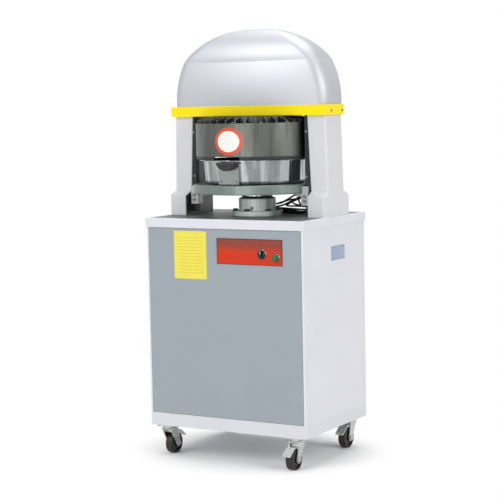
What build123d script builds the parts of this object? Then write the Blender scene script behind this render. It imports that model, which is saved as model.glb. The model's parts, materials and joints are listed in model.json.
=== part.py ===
from build123d import *
import math
import os

# Frame: millimetres, floor at zero, front of the machine towards -Y, +X to the right

# Casters
caster_height = 95.0
caster_inset_x = 46.0
caster_inset_y = 30.0
caster_plate_size = 58.0
caster_plate_thickness = 3.0
race_radius = 21.0
race_height = 8.0
race_gap = 0.5
kingpin_radius = 6.0
fork_crown_radius = 22.0
fork_sheet = 3.0
fork_side_gap = 2.0
fork_eye_radius = 11.0
wheel_radius = 32.0
wheel_width = 24.0
wheel_tread_depth = 7.0
wheel_edge = 3.5
wheel_web_width = 14.0
wheel_hub_radius = 11.0
wheel_trail = 24.0
axle_radius = 4.0
axle_head_radius = 7.0
axle_head_height = 4.0
brake_pivot_x = 10.0
brake_pivot_rise = 72.0
brake_side_gap = 0.5
brake_tail_drop = 20.0
brake_pin_radius = 2.5
brake_tail = 46.0
brake_sheet = 4.0
brake_pad_gap = 2.6
left_heading = 90.0
right_heading = 270.0

# Cabinet
cabinet_width = 540.0
cabinet_depth = 398.0
base_height = 39.0
shell_height = 569.0
sheet = 2.0
cabinet_edge = 3.0
base_floor = 3.0
front_strip = 7.0
panel_gap = 1.0
panel_return = 14.0
louvre_width = 120.0
louvre_height = 6.0
louvre_pitch = 16.0
louvre_rows = 7
louvre_spacing = 190.0
frame_tube = 30.0
frame_gap = 0.3

# Table
rim_overhang = 4.0
rim_height = 28.0
rim_corner = 5.0
rim_edge = 2.0
rim_lip = 12.0
table_thickness = 5.0
ledge_width = 16.0
table_gap = 0.3

# Columns, leaning outwards towards the feet
column_y = 18.0
column_depth = 104.0
column_height = 305.0
column_top_inset = 7.0
column_top_width = 64.0
column_low_inset = 1.5
column_low_width = 60.0
foot_width = 58.0
foot_depth = 164.0
foot_height = 60.0
foot_slope = 15.0
cover_wall = 3.0
cover_corner = 6.0
tie_bar_width = 26.0
tie_bar_depth = 50.0
tie_bar_inset = 26.0
tie_bar_gap = 0.5

# Head
crosshead_height = 26.0
band_drop = 3.0
band_height = 31.0
band_bar = 10.0
band_side_bar = 7.7
band_joint_step = 5.0
band_side_gap = 0.3
seat_gap = 0.2
hood_step = 5.0
hood_front_step = 1.2
hood_depth = 135.0
hood_corner = 36.0
hood_dome_corner = 30.0
hood_height = 231.0
hood_wall = 2.5
hood_side_power = 2.45
hood_dome_power = 1.8
hood_crease = 0.562
hood_wall_steps = (0.0, 0.3, hood_crease)
hood_dome_steps = (hood_crease, 0.7, 0.82, 0.91, 0.97, 0.995)

# Press axis: drum, presser and knives
press_y = 10.0
throat_gap = 11.0
drum_side_gap = 15.0
drum_wall = 10.0
drum_height = 98.5
drum_top = 8.0
drum_neck_radius = 43.5
drum_neck_wall = 12.0
drum_rod_hole = 30.0
drum_ribs = 36
rib_length = 38.9
drum_collar_wall = 6.0
rib_thickness = 4.0
rib_height = 18.0
rib_tip = 10.0
rib_root_gap = 0.1
rib_end_gap = 5.0
press_rod_radius = 22.0
running_fit = 0.05
press_stroke = 60.0
cylinder_radius = 43.0
cylinder_bore = 34.0
cylinder_height = 160.0
cylinder_cap = 14.0
press_port_rise = 120.0
piston_height = 25.0
piston_fit = 0.08
carrier_margin = 9.0
carrier_thickness = 10.0
carrier_top_gap = 5.0
presser_margin = 3.0
presser_thickness = 12.0
presser_recess = 20.0
presser_pin_radius = 4.0
inner_pin_share = 0.62
blade_thickness = 2.0
blade_gap = 0.6
blade_joint = 0.05
blade_rise = 2.0
blade_height = 41.5
inner_cells = 6
middle_cells = 12
outer_cells = 18
spider_arms = 6
spider_arm_width = 12.0
spider_thickness = 8.0
spider_rim = 10.0

# Ram, platen and pan
ram_radius = 40.0
ram_flange_radius = 52.0
ram_flange_height = 10.0
housing_radius = 56.5
housing_height = 39.0
housing_flange_radius = 77.5
housing_flange_height = 14.0
housing_edge = 3.0
housing_bolts = 6
housing_bolt_circle = 67.0
bolt_head_radius = 8.0
bolt_head_height = 6.5
bolt_shank_radius = 5.0
bolt_hole_gap = 0.3
barrel_radius = 56.0
barrel_bore = 45.0
barrel_length = 186.0
barrel_floor = 16.0
barrel_flange_height = 12.0
ram_piston_height = 25.0
ram_lower_gap = 9.0
platen_clearance = 17.0
platen_over = 8.0
platen_thickness = 28.0
platen_edge = 2.0
stop_height = 5.0
stop_width = 7.0
stop_gap = 0.5
pan_height = 74.5
pan_taper = 6.0
pan_wall = 3.0
pan_fillet = 12.0
pan_rim_inset = 8.0
pan_rim_width = 12.0
pan_rim_thickness = 3.0
grip_width = 68.0
grip_height = 25.0
grip_drop = 3.0
grip_overhang = 30.0
grip_round = 3.0
grip_plate_width = 68.0
grip_plate_overhang = 9.0
grip_fit = 0.1

# Guide rails on the columns and shoes on the platen
rail_depth = 7.5
rail_front = 51.0
rail_width = 18.0
rail_foot_gap = 9.0
rail_head_gap = 3.0
shoe_width = 24.0
shoe_thickness = 10.0
shoe_gap = 0.5
shoe_top_drop = 7.0
shoe_drop = 36.0
shoe_arm = 36.0

# Power pack inside the cabinet
tank_gap = 7.7
tank_front_gap = 89.0
tank_width = 240.0
tank_rear_gap = 24.7
tank_height = 170.0
tank_wall = 3.0
tank_lid = 6.0
motor_inset_x = 80.0
motor_inset_y = 62.0
motor_radius = 75.0
motor_height = 200.0
motor_fins = 24
motor_fin_depth = 6.0
motor_fin_width = 3.0
bell_radius = 60.0
bell_height = 62.0
bell_wall = 8.0
bell_window = 34.0
shaft_radius = 12.0
coupling_radius = 26.0
coupling_height = 36.0
pump_radius = 40.0
pump_height = 90.0
valve_inset_x = 80.0
valve_inset_y = 38.0
valve_width = 60.0
valve_depth = 70.0
valve_height = 60.0
solenoid_radius = 17.0
solenoid_length = 52.0
hose_radius = 6.0
hose_inset_x = 30.0
hose_inset_y = 14.0
hose_hole_gap = 2.0
hose_bend = 34.0
port_height = 30.0
port_sink = 2.0
ram_port_rise = 60.0
control_box_depth = 70.0
control_box_gap = 0.3

# Controls on the front
plate_side = 69.0
plate_width = 222.0
plate_drop = 27.5
plate_height = 76.5
plate_thickness = 1.5
button_inset = 21.0
button_rise = 24.0
button_radius = 9.5
button_stem_radius = 6.0
button_height = 7.0
button_travel = 4.0
button_gap = 0.3
button_edge = 1.5
selector_inset = 68.0
selector_rise = 32.5
selector_radius = 12.0
selector_height = 11.0
selector_grip = 7.0
selector_stem_radius = 4.0
stem_fit = 0.05

# Mains lead: gland in the right foot, hank on the table, plug behind the column
cord_radius = 2.75
gland_y = 70.0
gland_rise = 17.0
gland_radius = 11.0
gland_length = 24.0
gland_thread_radius = 7.8
gland_nut_height = 6.0
gland_lip = 1.5
gland_fit = 0.2
lead_run = 21.0
hank_sides = 8
hank_lead_gap = 83.0
hank_lead_shift = 9.0
hank_front = 88.0
hank_turn = 19.0
hank_left_crest = 0.4
hank_right_crest = 0.3
# Each loop: left end, right end, rises of the rear run, left end and rises of the front run
hank_loops = (
    (50.0, 151.0, 0.0, 0.0, 50.0, 0.6, 6.4),
    (50.0, 147.0, 6.4, 6.4, 30.0, 7.2, 14.0),
    (30.0, 64.0, 18.5, 37.0, 30.0, 38.0, 26.5),
)
# Rising run, arch over the loops and crossing loop: places across the table and rises
hank_arch = (
    (30.0, 38.0, 27.5), (70.0, 38.0, 52.0), (118.0, 6.0, 20.0), (136.0, 6.0, 15.5), (136.0, 44.0, 14.0),
    (78.0, 44.0, 17.0), (78.0, -8.0, 27.0), (104.0, -8.0, 50.0), (104.0, 56.0, 51.0), (60.0, 56.0, 32.0),
)
hank_exit_turn = 17.0
hank_end_run = 12.0
plug_radius = 19.0
plug_length = 34.0
plug_relief_length = 26.0
plug_relief_tip = 4.2
plug_relief_root = 8.0
plug_pin_radius = 2.4
plug_pin_length = 19.0
plug_pin_spacing = 19.0
rest_gap = 0.2

# Places and levels worked out from the sizes above
half_width = cabinet_width / 2
half_depth = cabinet_depth / 2
front_face = -half_depth
caster_reach_x = half_width - caster_inset_x
caster_reach_y = half_depth - caster_inset_y
column_top_outer = half_width - column_top_inset
column_top_inner = column_top_outer - column_top_width
column_low_outer = half_width - column_low_inset
column_low_inner = column_low_outer - column_low_width
foot_outer = half_width
foot_inner = foot_outer - foot_width
tie_bar_x = half_width - tie_bar_inset
band_half_width = column_top_outer + band_side_gap + band_side_bar
band_joint = column_top_inner + band_joint_step
hood_half_width = band_half_width - hood_step
drum_radius = column_top_inner - drum_side_gap
drum_collar_radius = drum_radius - rib_end_gap - rib_length - rib_root_gap
carrier_radius = drum_radius - drum_wall - carrier_margin
platen_radius = drum_radius + platen_over
pan_rim_radius = drum_radius - pan_rim_inset
pan_top_radius = pan_rim_radius - pan_rim_width
pan_bottom_radius = pan_top_radius - pan_taper
presser_radius = pan_bottom_radius - pan_wall - presser_margin
grip_reach = pan_bottom_radius + grip_overhang
grip_plate_reach = pan_bottom_radius + grip_plate_overhang
rail_inner = column_top_inner - rail_depth
tank_x0 = -(half_width - sheet - frame_gap - frame_tube - tank_gap)
tank_x1 = tank_x0 + tank_width
tank_y0 = -(half_depth - tank_front_gap)
tank_y1 = half_depth - panel_return - frame_gap - frame_tube - tank_rear_gap
motor_x = tank_x0 + motor_inset_x
motor_y = tank_y0 + motor_inset_y
valve_x = tank_x0 + valve_inset_x
valve_y = tank_y1 - valve_inset_y
hose_column_x = half_width - hose_inset_x
hose_column_y = column_y + column_depth / 2 - hose_inset_y
plate_x1 = half_width - plate_side
plate_x0 = plate_x1 - plate_width
button_x = plate_x1 - button_inset
selector_x = plate_x1 - selector_inset
gland_mouth = foot_inner - gland_length
hank_lead_x = gland_mouth - hank_lead_gap
base_top = caster_height + base_height
table_bottom = base_top + shell_height
table_top = table_bottom + rim_height
plate_z1 = table_bottom - plate_drop
plate_z0 = plate_z1 - plate_height
button_z = plate_z0 + button_rise
selector_z = plate_z0 + selector_rise
tank_top = caster_height + base_floor + tank_height
gland_z = table_top + gland_rise
head_bottom = table_top + column_height
crosshead_top = head_bottom + crosshead_height
band_bottom = head_bottom - band_drop
band_top = band_bottom + band_height
hood_bottom = band_top + seat_gap
housing_top = table_top + housing_flange_height + housing_height
platen_bottom = housing_top + platen_clearance
platen_top = platen_bottom + platen_thickness
pan_top = platen_top + pan_height
drum_bottom = pan_top + throat_gap
drum_roof = drum_bottom + drum_height
presser_bottom = drum_bottom + presser_recess
presser_top = presser_bottom + presser_thickness
blade_bottom = presser_bottom + blade_rise
blade_top = blade_bottom + blade_height
carrier_top = drum_roof - drum_top - carrier_top_gap
carrier_bottom = carrier_top - carrier_thickness
rail_front_y = column_y - rail_front
hood_front = column_y - column_depth / 2 - seat_gap - band_bar + hood_front_step
hood_y = hood_front + hood_depth / 2


# Basic shapes
def block(x0, x1, y0, y1, z0, z1):
    """Rectangular block between two corners."""
    centre = Pos((x0 + x1) / 2, (y0 + y1) / 2, (z0 + z1) / 2)
    return centre * Box(x1 - x0, y1 - y0, z1 - z0)


def drum_of(radius, z0, z1, x=0.0, y=0.0):
    """Upright cylinder between two levels."""
    return Pos(x, y, (z0 + z1) / 2) * Cylinder(radius, z1 - z0)


def ring_of(outer, inner, z0, z1, x=0.0, y=0.0):
    """Upright tube between two levels."""
    return drum_of(outer, z0, z1, x, y) - drum_of(inner, z0, z1, x, y)


def bar_along_x(radius, x0, x1, y, z):
    """Round bar lying along X."""
    return Pos((x0 + x1) / 2, y, z) * Rot(0, 90, 0) * Cylinder(radius, abs(x1 - x0))


def bar_along_y(radius, y0, y1, x, z):
    """Round bar lying along Y."""
    return Pos(x, (y0 + y1) / 2, z) * Rot(90, 0, 0) * Cylinder(radius, abs(y1 - y0))


def left_of(part):
    """Mirror image on the left side of the machine."""
    return mirror(part, about=Plane.YZ)


def save(name, *pieces):
    """Write one node, made of one or more separate solids."""
    solids = [solid for piece in pieces for solid in piece.solids()]
    shape = solids[0] if len(solids) == 1 else Compound(children=solids)
    export_step(shape, os.path.join("parts", name + ".step"))


# Cabinet
def base_tray():
    """White base band with the floor that carries the casters."""
    outer = block(-half_width, half_width, -half_depth, half_depth, caster_height, base_top)
    outer = fillet(outer.edges().filter_by(Axis.Z), cabinet_edge)
    inner_x = half_width - sheet
    inner_y = half_depth - sheet
    return outer - block(-inner_x, inner_x, -inner_y, inner_y, caster_height + base_floor, base_top)


def cabinet_shell():
    """Sides and louvred back of the cabinet, with a narrow strip at each front edge."""
    outer = block(-half_width, half_width, -half_depth, half_depth, base_top, table_bottom)
    outer = fillet(outer.edges().filter_by(Axis.Z), cabinet_edge)
    inner_x = half_width - sheet
    inner_y = half_depth - sheet
    shell = outer - block(-inner_x, inner_x, -inner_y, inner_y, base_top, table_bottom)
    window_x = half_width - front_strip
    shell -= block(-window_x, window_x, -half_depth, -inner_y, base_top, table_bottom)
    louvres = []
    first = base_top + louvre_pitch * 3
    for side in (-1, 1):
        for row in range(louvre_rows):
            spot = Pos(side * louvre_spacing / 2, half_depth - sheet / 2, first + row * louvre_pitch)
            slot = SlotOverall(louvre_width, louvre_height)
            louvres.append(spot * Rot(90, 0, 0) * extrude(slot, sheet, both=True))
    return shell - louvres


def control_holes():
    """Through holes for the stems of the button and the selector."""
    back = front_face + panel_return
    button = bar_along_y(button_stem_radius + stem_fit, front_face - plate_thickness, back, button_x, button_z)
    selector = bar_along_y(
        selector_stem_radius + stem_fit, front_face - plate_thickness, back, selector_x, selector_z
    )
    return [button, selector]


def front_panel():
    """Grey service panel with edges folded inwards."""
    edge = half_width - front_strip - panel_gap
    low = base_top + panel_gap
    high = table_bottom - panel_gap
    panel = block(-edge, edge, front_face, front_face + panel_return, low, high)
    inner = block(
        -edge + sheet, edge - sheet, front_face + sheet, front_face + panel_return, low + sheet, high - sheet
    )
    return panel - inner - control_holes()


def inner_frame():
    """Welded tube frame that carries the table and the columns."""
    out_x = half_width - sheet - frame_gap
    out_y = half_depth - panel_return - frame_gap
    low = caster_height + base_floor
    rails = []
    for z0 in (low, table_bottom - frame_tube):
        for side in (-1, 1):
            edge_x = sorted((side * out_x, side * (out_x - frame_tube)))
            edge_y = sorted((side * out_y, side * (out_y - frame_tube)))
            rails.append(block(*edge_x, -out_y, out_y, z0, z0 + frame_tube))
            rails.append(block(-out_x, out_x, *edge_y, z0, z0 + frame_tube))
    for side_x in (-1, 1):
        for side_y in (-1, 1):
            post_x = sorted((side_x * out_x, side_x * (out_x - frame_tube)))
            post_y = sorted((side_y * out_y, side_y * (out_y - frame_tube)))
            rails.append(block(*post_x, *post_y, low, table_bottom))
    for side in (-1, 1):
        inner = press_y + side * (housing_flange_radius + frame_gap)
        outer = inner + side * frame_tube
        rails.append(block(-out_x, out_x, *sorted((inner, outer)), table_bottom - frame_tube, table_bottom))
    frame = rails[0].fuse(*rails[1:])
    return frame - drum_of(
        hose_radius + hose_hole_gap, table_bottom - frame_tube, table_bottom, -hose_column_x, hose_column_y
    )


# Table
def table_tray():
    """White rim round the table, with the ledge that the plate lies on."""
    out_x = half_width + rim_overhang
    out_y = half_depth + rim_overhang
    in_x = out_x - rim_lip
    in_y = out_y - rim_lip
    plate_bottom = table_top - table_thickness
    rim = block(-out_x, out_x, -out_y, out_y, table_bottom, table_top)
    rim = fillet(rim.edges().filter_by(Axis.Z), rim_corner)
    rim = fillet(rim.edges().group_by(Axis.Z)[-1], rim_edge)
    rim -= block(-in_x, in_x, -in_y, in_y, plate_bottom, table_top)
    rim -= block(
        -in_x + ledge_width, in_x - ledge_width, -in_y + ledge_width, in_y - ledge_width, table_bottom, plate_bottom
    )
    slot = tie_bar_slot(table_bottom, plate_bottom)
    return rim - slot - left_of(slot)


def tie_bar_slot(z0, z1):
    """Clearance for the right tie bar."""
    half_x = tie_bar_width / 2 + tie_bar_gap
    half_y = tie_bar_depth / 2 + tie_bar_gap
    return block(tie_bar_x - half_x, tie_bar_x + half_x, column_y - half_y, column_y + half_y, z0, z1)


def bolt_places():
    """Places of the bolts round the ram housing."""
    return [
        Pos(0, press_y, 0) * Rot(0, 0, (turn + 0.5) * 360 / housing_bolts) * Pos(housing_bolt_circle, 0, 0)
        for turn in range(housing_bolts)
    ]


def table_plate():
    """Steel table plate with openings for the ram, the tie bars and the hose."""
    edge_x = half_width + rim_overhang - rim_lip - table_gap
    edge_y = half_depth + rim_overhang - rim_lip - table_gap
    low = table_top - table_thickness
    plate = block(-edge_x, edge_x, -edge_y, edge_y, low, table_top)
    slot = tie_bar_slot(low, table_top)
    cuts = [slot, left_of(slot), drum_of(barrel_bore, low, table_top, 0, press_y)]
    cuts.append(drum_of(hose_radius + hose_hole_gap, low, table_top, -hose_column_x, hose_column_y))
    for place in bolt_places():
        cuts.append(place * drum_of(bolt_shank_radius + bolt_hole_gap, low, table_top))
    return plate - cuts


# Columns
def column_section(z, x0, x1, depth, inset):
    """Rounded section of a column cover at one level."""
    width = x1 - x0 - 2 * inset
    corner = max(cover_corner - inset, cover_corner / 4)
    face = RectangleRounded(width, depth - 2 * inset, corner)
    return Pos((x0 + x1) / 2, column_y, z) * face


def column_form(inset):
    """Right column: flared foot, sloping shoulder and leaning shaft."""
    foot_top = table_top + foot_height
    shoulder = foot_top + foot_slope
    foot = column_section(table_top, foot_inner, foot_outer, foot_depth, inset)
    foot_end = column_section(foot_top, foot_inner, foot_outer, foot_depth, inset)
    low = column_section(shoulder, column_low_inner, column_low_outer, column_depth, inset)
    high = column_section(head_bottom, column_top_inner, column_top_outer, column_depth, inset)
    return loft([foot, foot_end, low, high], ruled=True)


def column_cover():
    """Hollow right column cover, open at top and bottom."""
    return column_form(0.0) - column_form(cover_wall)


def gland_hole():
    """Hole for the gland in the inner wall of the right foot."""
    return bar_along_x(
        gland_thread_radius + gland_fit, foot_inner - cover_wall, foot_inner + 2 * cover_wall, gland_y, gland_z
    )


def tie_bar():
    """Right steel bar from the frame up to the crosshead."""
    half_x = tie_bar_width / 2
    half_y = tie_bar_depth / 2
    return block(
        tie_bar_x - half_x, tie_bar_x + half_x, column_y - half_y, column_y + half_y, table_bottom, head_bottom
    )


def guide_rail():
    """Right guide rail, filling the lean of the column's inner face."""
    low = table_top + rail_foot_gap
    foot_top = table_top + foot_height
    shoulder = foot_top + foot_slope
    high = head_bottom - rail_head_gap
    lean = (column_low_inner - column_top_inner) / (head_bottom - shoulder)
    outline = [
        (rail_inner, low),
        (foot_inner - seat_gap, low),
        (foot_inner - seat_gap, foot_top),
        (column_low_inner - seat_gap, shoulder),
        (column_top_inner - seat_gap + lean * rail_head_gap, high),
        (rail_inner, high),
    ]
    face = Plane.XZ * make_face(Polyline(*outline, close=True))
    return Pos(0, rail_front_y, 0) * extrude(face, -rail_width)


# Head
def crosshead():
    """Painted bridge across the columns, bored for the press rod and the hose."""
    half_y = column_depth / 2
    bridge = block(
        -column_top_outer, column_top_outer, column_y - half_y, column_y + half_y, head_bottom, crosshead_top
    )
    bridge -= drum_of(press_rod_radius + running_fit, head_bottom, crosshead_top, 0, press_y)
    return bridge - drum_of(
        hose_radius + hose_hole_gap, head_bottom, crosshead_top, -hose_column_x, hose_column_y
    )


def bumper_corner():
    """Right corner piece of the yellow band."""
    front = column_y - column_depth / 2 - seat_gap
    side = column_top_outer + band_side_gap
    back = column_y + column_depth / 2
    corner = block(band_joint, band_half_width, front - band_bar, front, band_bottom, band_top)
    return corner + block(side, band_half_width, front, back, band_bottom, band_top)


def bumper_bar():
    """Yellow bar across the front of the throat."""
    front = column_y - column_depth / 2 - seat_gap
    reach = band_joint - seat_gap
    bar = block(-reach, reach, front - band_bar, front, band_bottom, band_top)
    return fillet(bar.edges().filter_by(Axis.X).group_by(Axis.Y)[0], band_bar / 4)


def hood_section(step, inset):
    """Rounded section of the hood at one share of its height."""
    side_share = (1 - step**hood_side_power) ** (1 / hood_side_power)
    above = (step - hood_crease) / (1 - hood_crease) if step > hood_crease else 0.0
    depth_share = (1 - above**hood_dome_power) ** (1 / hood_dome_power)
    half_x = hood_half_width * side_share - inset
    half_y = hood_depth / 2 * depth_share - inset
    corner = hood_corner * side_share + hood_dome_corner * above - inset
    level = hood_bottom + step * (hood_height - inset)
    return Pos(0, hood_y, level) * RectangleRounded(2 * half_x, 2 * half_y, min(corner, half_y * 0.9))


def hood_form(inset):
    """Loaf form of the hood: upright front and back up to a crease, and a dome above it."""
    wall = loft([hood_section(step, inset) for step in hood_wall_steps])
    return wall + loft([hood_section(step, inset) for step in hood_dome_steps])


def hood():
    """Thin domed hood, open underneath."""
    return hood_form(0.0) - hood_form(hood_wall)


# Press head
def drum():
    """Wall of the knife drum, from its mouth up to the roof."""
    return ring_of(drum_radius, drum_radius - drum_wall, drum_bottom, drum_roof - drum_top, 0, press_y)


def drum_cover():
    """Roof of the drum with the neck under the crosshead."""
    roof = ring_of(drum_radius, drum_rod_hole, drum_roof - drum_top, drum_roof, 0, press_y)
    neck = ring_of(drum_neck_radius, drum_neck_radius - drum_neck_wall, drum_roof, head_bottom, 0, press_y)
    return roof + neck


def drum_collar():
    """Ring on the drum's roof, up to the yellow band."""
    top = band_bottom - seat_gap
    return ring_of(drum_collar_radius, drum_collar_radius - drum_collar_wall, drum_roof, top, 0, press_y)


def drum_rib_set():
    """Stiffening ribs that fall away from the collar to the edge of the roof."""
    tip = drum_radius - rib_end_gap
    root = tip - rib_length
    outline = [(root, drum_roof), (tip, drum_roof), (tip, drum_roof + rib_tip), (root, drum_roof + rib_height)]
    rib = extrude(Plane.XZ * make_face(Polyline(*outline, close=True)), rib_thickness / 2, both=True)
    return [
        Pos(0, press_y, 0) * Rot(0, 0, turn * 360 / drum_ribs) * rib
        for turn in range(drum_ribs)
    ]


def press_cylinder():
    """Hydraulic press cylinder on top of the crosshead."""
    top = crosshead_top + cylinder_height
    barrel = drum_of(cylinder_radius, crosshead_top, top, 0, press_y)
    bore = drum_of(cylinder_bore, crosshead_top + cylinder_cap, top - cylinder_cap, 0, press_y)
    rod = drum_of(press_rod_radius + running_fit, crosshead_top, crosshead_top + cylinder_cap, 0, press_y)
    port = bar_along_x(
        hose_radius * 1.5, -cylinder_radius - port_height / 2, -cylinder_radius + port_sink, press_y,
        crosshead_top + press_port_rise,
    )
    return barrel - bore - rod + port


def press_rod():
    """Piston and rod of the press cylinder."""
    piston_top = crosshead_top + cylinder_height - cylinder_cap - seat_gap
    rod = drum_of(press_rod_radius, carrier_top, piston_top, 0, press_y)
    piston = drum_of(cylinder_bore - piston_fit, piston_top - piston_height, piston_top, 0, press_y)
    return rod + piston


def press_carrier():
    """Round plate at the foot of the press rod."""
    return drum_of(carrier_radius, carrier_bottom, carrier_top, 0, press_y)


def cell_rows():
    """Rows of cells of equal area: count, inner radius and outer radius."""
    counts = (inner_cells, middle_cells, outer_cells)
    total = sum(counts)
    rows = []
    inside = 0
    for count in counts:
        near = presser_radius * math.sqrt(inside / total)
        inside += count
        rows.append((count, near, presser_radius * math.sqrt(inside / total)))
    return rows


def cell_plate(count, near, far):
    """Presser plate of one cell, clear of the blades around it."""
    slack = blade_thickness / 2 + blade_gap
    half = math.radians(180 / count)
    outer = far - slack
    if near == 0:
        tip = slack / math.sin(half)
        near_mid = (tip, 0)
        near_side = near_mid
    else:
        inner = near + slack
        near_mid = (inner, 0)
        swing = half - math.asin(slack / inner)
        near_side = (inner * math.cos(swing), inner * math.sin(swing))
    swing = half - math.asin(slack / outer)
    far_side = (outer * math.cos(swing), outer * math.sin(swing))
    below = [(x, -y) for x, y in (near_side, far_side)]
    edges = [Line(near_side, far_side), ThreePointArc(far_side, (outer, 0), below[1]), Line(below[1], below[0])]
    if near > 0:
        edges.append(ThreePointArc(below[0], near_mid, near_side))
    return extrude(Pos(0, 0, presser_bottom) * make_face(edges), presser_thickness)


def cell_pin(near, far):
    """Pin that hangs the presser plate of one cell under the carrier."""
    middle = (near + far) / 2 if near > 0 else far * inner_pin_share
    return drum_of(presser_pin_radius, presser_top, carrier_bottom, middle, 0)


def round_the_press(part, count, shift):
    """Copies of a piece around the press axis."""
    return [
        Pos(0, press_y, 0) * Rot(0, 0, (turn + shift) * 360 / count) * part
        for turn in range(count)
    ]


def presser_plates():
    """One presser plate for each cell."""
    return [
        plate
        for count, near, far in cell_rows()
        for plate in round_the_press(cell_plate(count, near, far), count, 0.5)
    ]


def presser_pins():
    """One pin for each presser plate."""
    return [
        pin
        for count, near, far in cell_rows()
        for pin in round_the_press(cell_pin(near, far), count, 0.5)
    ]


def knife_rings():
    """Ring blades between the rows of cells."""
    half = blade_thickness / 2
    return [
        ring_of(far + half, far - half, blade_bottom, blade_top, 0, press_y)
        for count, near, far in cell_rows()
    ]


def knife_blades():
    """Radial blades that part the cells of each row, welded between the rings."""
    half = blade_thickness / 2
    blades = []
    for count, near, far in cell_rows():
        start = near + half if near > 0 else half / math.tan(math.pi / count)
        blade = block(start + blade_joint, far - half - blade_joint, -half, half, blade_bottom, blade_top)
        blades += round_the_press(blade, count, 0.0)
    return blades


def knife_spider():
    """Arms and rim that carry the knife grid."""
    top = blade_top + spider_thickness
    rim_outer = presser_radius + blade_thickness / 2
    spider = [ring_of(rim_outer, rim_outer - spider_rim, blade_top, top, 0, press_y)]
    arm = block(0, rim_outer - spider_rim / 2, -spider_arm_width / 2, spider_arm_width / 2, blade_top, top)
    for turn in range(spider_arms):
        spider.append(Pos(0, press_y, 0) * Rot(0, 0, turn * 360 / spider_arms) * arm)
    return spider[0].fuse(*spider[1:])


# Ram and pan
def ram_housing():
    """Flanged guide of the ram on top of the table."""
    flange_top = table_top + housing_flange_height
    flange = drum_of(housing_flange_radius, table_top, flange_top, 0, press_y)
    body = drum_of(housing_radius, flange_top, housing_top, 0, press_y)
    body = chamfer(body.edges().group_by(Axis.Z)[-1], housing_edge)
    housing = flange + body - drum_of(ram_radius + running_fit, table_top, housing_top, 0, press_y)
    for place in bolt_places():
        housing -= place * drum_of(bolt_shank_radius + bolt_hole_gap, table_top, flange_top)
    return housing


def housing_bolt_set():
    """Hexagon bolts through the flange, the table and the barrel flange."""
    flange_top = table_top + housing_flange_height
    low = table_top - table_thickness - barrel_flange_height
    head = Pos(0, 0, flange_top) * extrude(RegularPolygon(bolt_head_radius, 6), bolt_head_height)
    bolt = head + drum_of(bolt_shank_radius, low, flange_top)
    return [place * bolt for place in bolt_places()]


def ram_barrel():
    """Cylinder barrel of the ram under the table."""
    top = table_top - table_thickness
    low = top - barrel_length
    barrel = drum_of(barrel_radius, low, top, 0, press_y)
    barrel += drum_of(housing_flange_radius, top - barrel_flange_height, top, 0, press_y)
    barrel -= drum_of(barrel_bore, low + barrel_floor, top, 0, press_y)
    port_z = low + ram_port_rise
    barrel += bar_along_x(hose_radius * 1.5, -barrel_radius - port_height / 2, -barrel_radius + port_sink, press_y, port_z)
    for place in bolt_places():
        barrel -= place * drum_of(bolt_shank_radius + bolt_hole_gap, top - barrel_flange_height, top)
    return barrel


def ram():
    """Ram with its piston below and its flange under the platen."""
    low = table_top - table_thickness - barrel_length + barrel_floor + ram_lower_gap
    shaft = drum_of(ram_radius, low, platen_bottom, 0, press_y)
    shaft += drum_of(ram_flange_radius, platen_bottom - ram_flange_height, platen_bottom, 0, press_y)
    return shaft + drum_of(barrel_bore - piston_fit, low, low + ram_piston_height, 0, press_y)


def platen():
    """Round table on the ram, with a stop behind the pan."""
    disc = drum_of(platen_radius, platen_bottom, platen_top, 0, press_y)
    disc = chamfer(disc.edges().filter_by(GeomType.CIRCLE), platen_edge)
    stop_inner = pan_bottom_radius + stop_gap
    stop = ring_of(stop_inner + stop_width, stop_inner, platen_top, platen_top + stop_height, 0, press_y)
    front = block(
        -platen_radius, platen_radius, press_y - platen_radius, press_y, platen_top, platen_top + stop_height
    )
    return disc + (stop - front)


def guide_shoe():
    """Right shoe that runs on the guide rail, on an arm from the platen."""
    face_y = rail_front_y - shoe_gap
    high = platen_bottom + platen_thickness - shoe_top_drop
    low = platen_bottom - shoe_drop
    near_x = rail_inner - shoe_thickness
    plate = block(near_x, near_x + shoe_width, face_y - shoe_thickness, face_y, low, high)
    cheek = block(
        near_x, rail_inner - shoe_gap, face_y, rail_front_y + rail_width, low, platen_bottom
    )
    arm = block(
        rail_inner - shoe_arm, rail_inner - shoe_gap, face_y, rail_front_y + rail_width,
        platen_bottom - shoe_thickness, platen_bottom,
    )
    relief = drum_of(platen_radius + shoe_gap / 2, platen_bottom, high, 0, press_y)
    return plate + cheek + arm - relief


def pan_profile(inset):
    """Half section of the pan's outer form, from its axis to its top edge."""
    low = platen_top + inset
    bottom = pan_bottom_radius - inset
    top = pan_top_radius - inset
    corner = pan_fillet - inset
    outline = Polyline((0, low), (bottom, low), (top, pan_top), (0, pan_top), close=True)
    face = make_face(outline)
    knuckle = face.vertices().sort_by_distance((bottom, low))[0]
    return fillet(knuckle, corner)


def pan_body(inset):
    """Solid of revolution inside the pan's wall."""
    turned = revolve(Plane.XZ * pan_profile(inset), Axis.Z)
    return Pos(0, press_y, 0) * turned


def dough_pan():
    """Polished dough pan with a flat rim."""
    rim = drum_of(pan_rim_radius, pan_top - pan_rim_thickness, pan_top, 0, press_y)
    rim = fillet(rim.edges().filter_by(GeomType.CIRCLE), pan_rim_thickness / 3)
    return pan_body(0.0) + rim - pan_body(pan_wall)


def pan_envelope():
    """Cone of the pan's outside with a little room, cut out of what is fixed to it."""
    return Pos(0, press_y, platen_top) * Cone(
        pan_bottom_radius + grip_fit, pan_top_radius + grip_fit, pan_height,
        align=(Align.CENTER, Align.CENTER, Align.MIN),
    )


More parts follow.
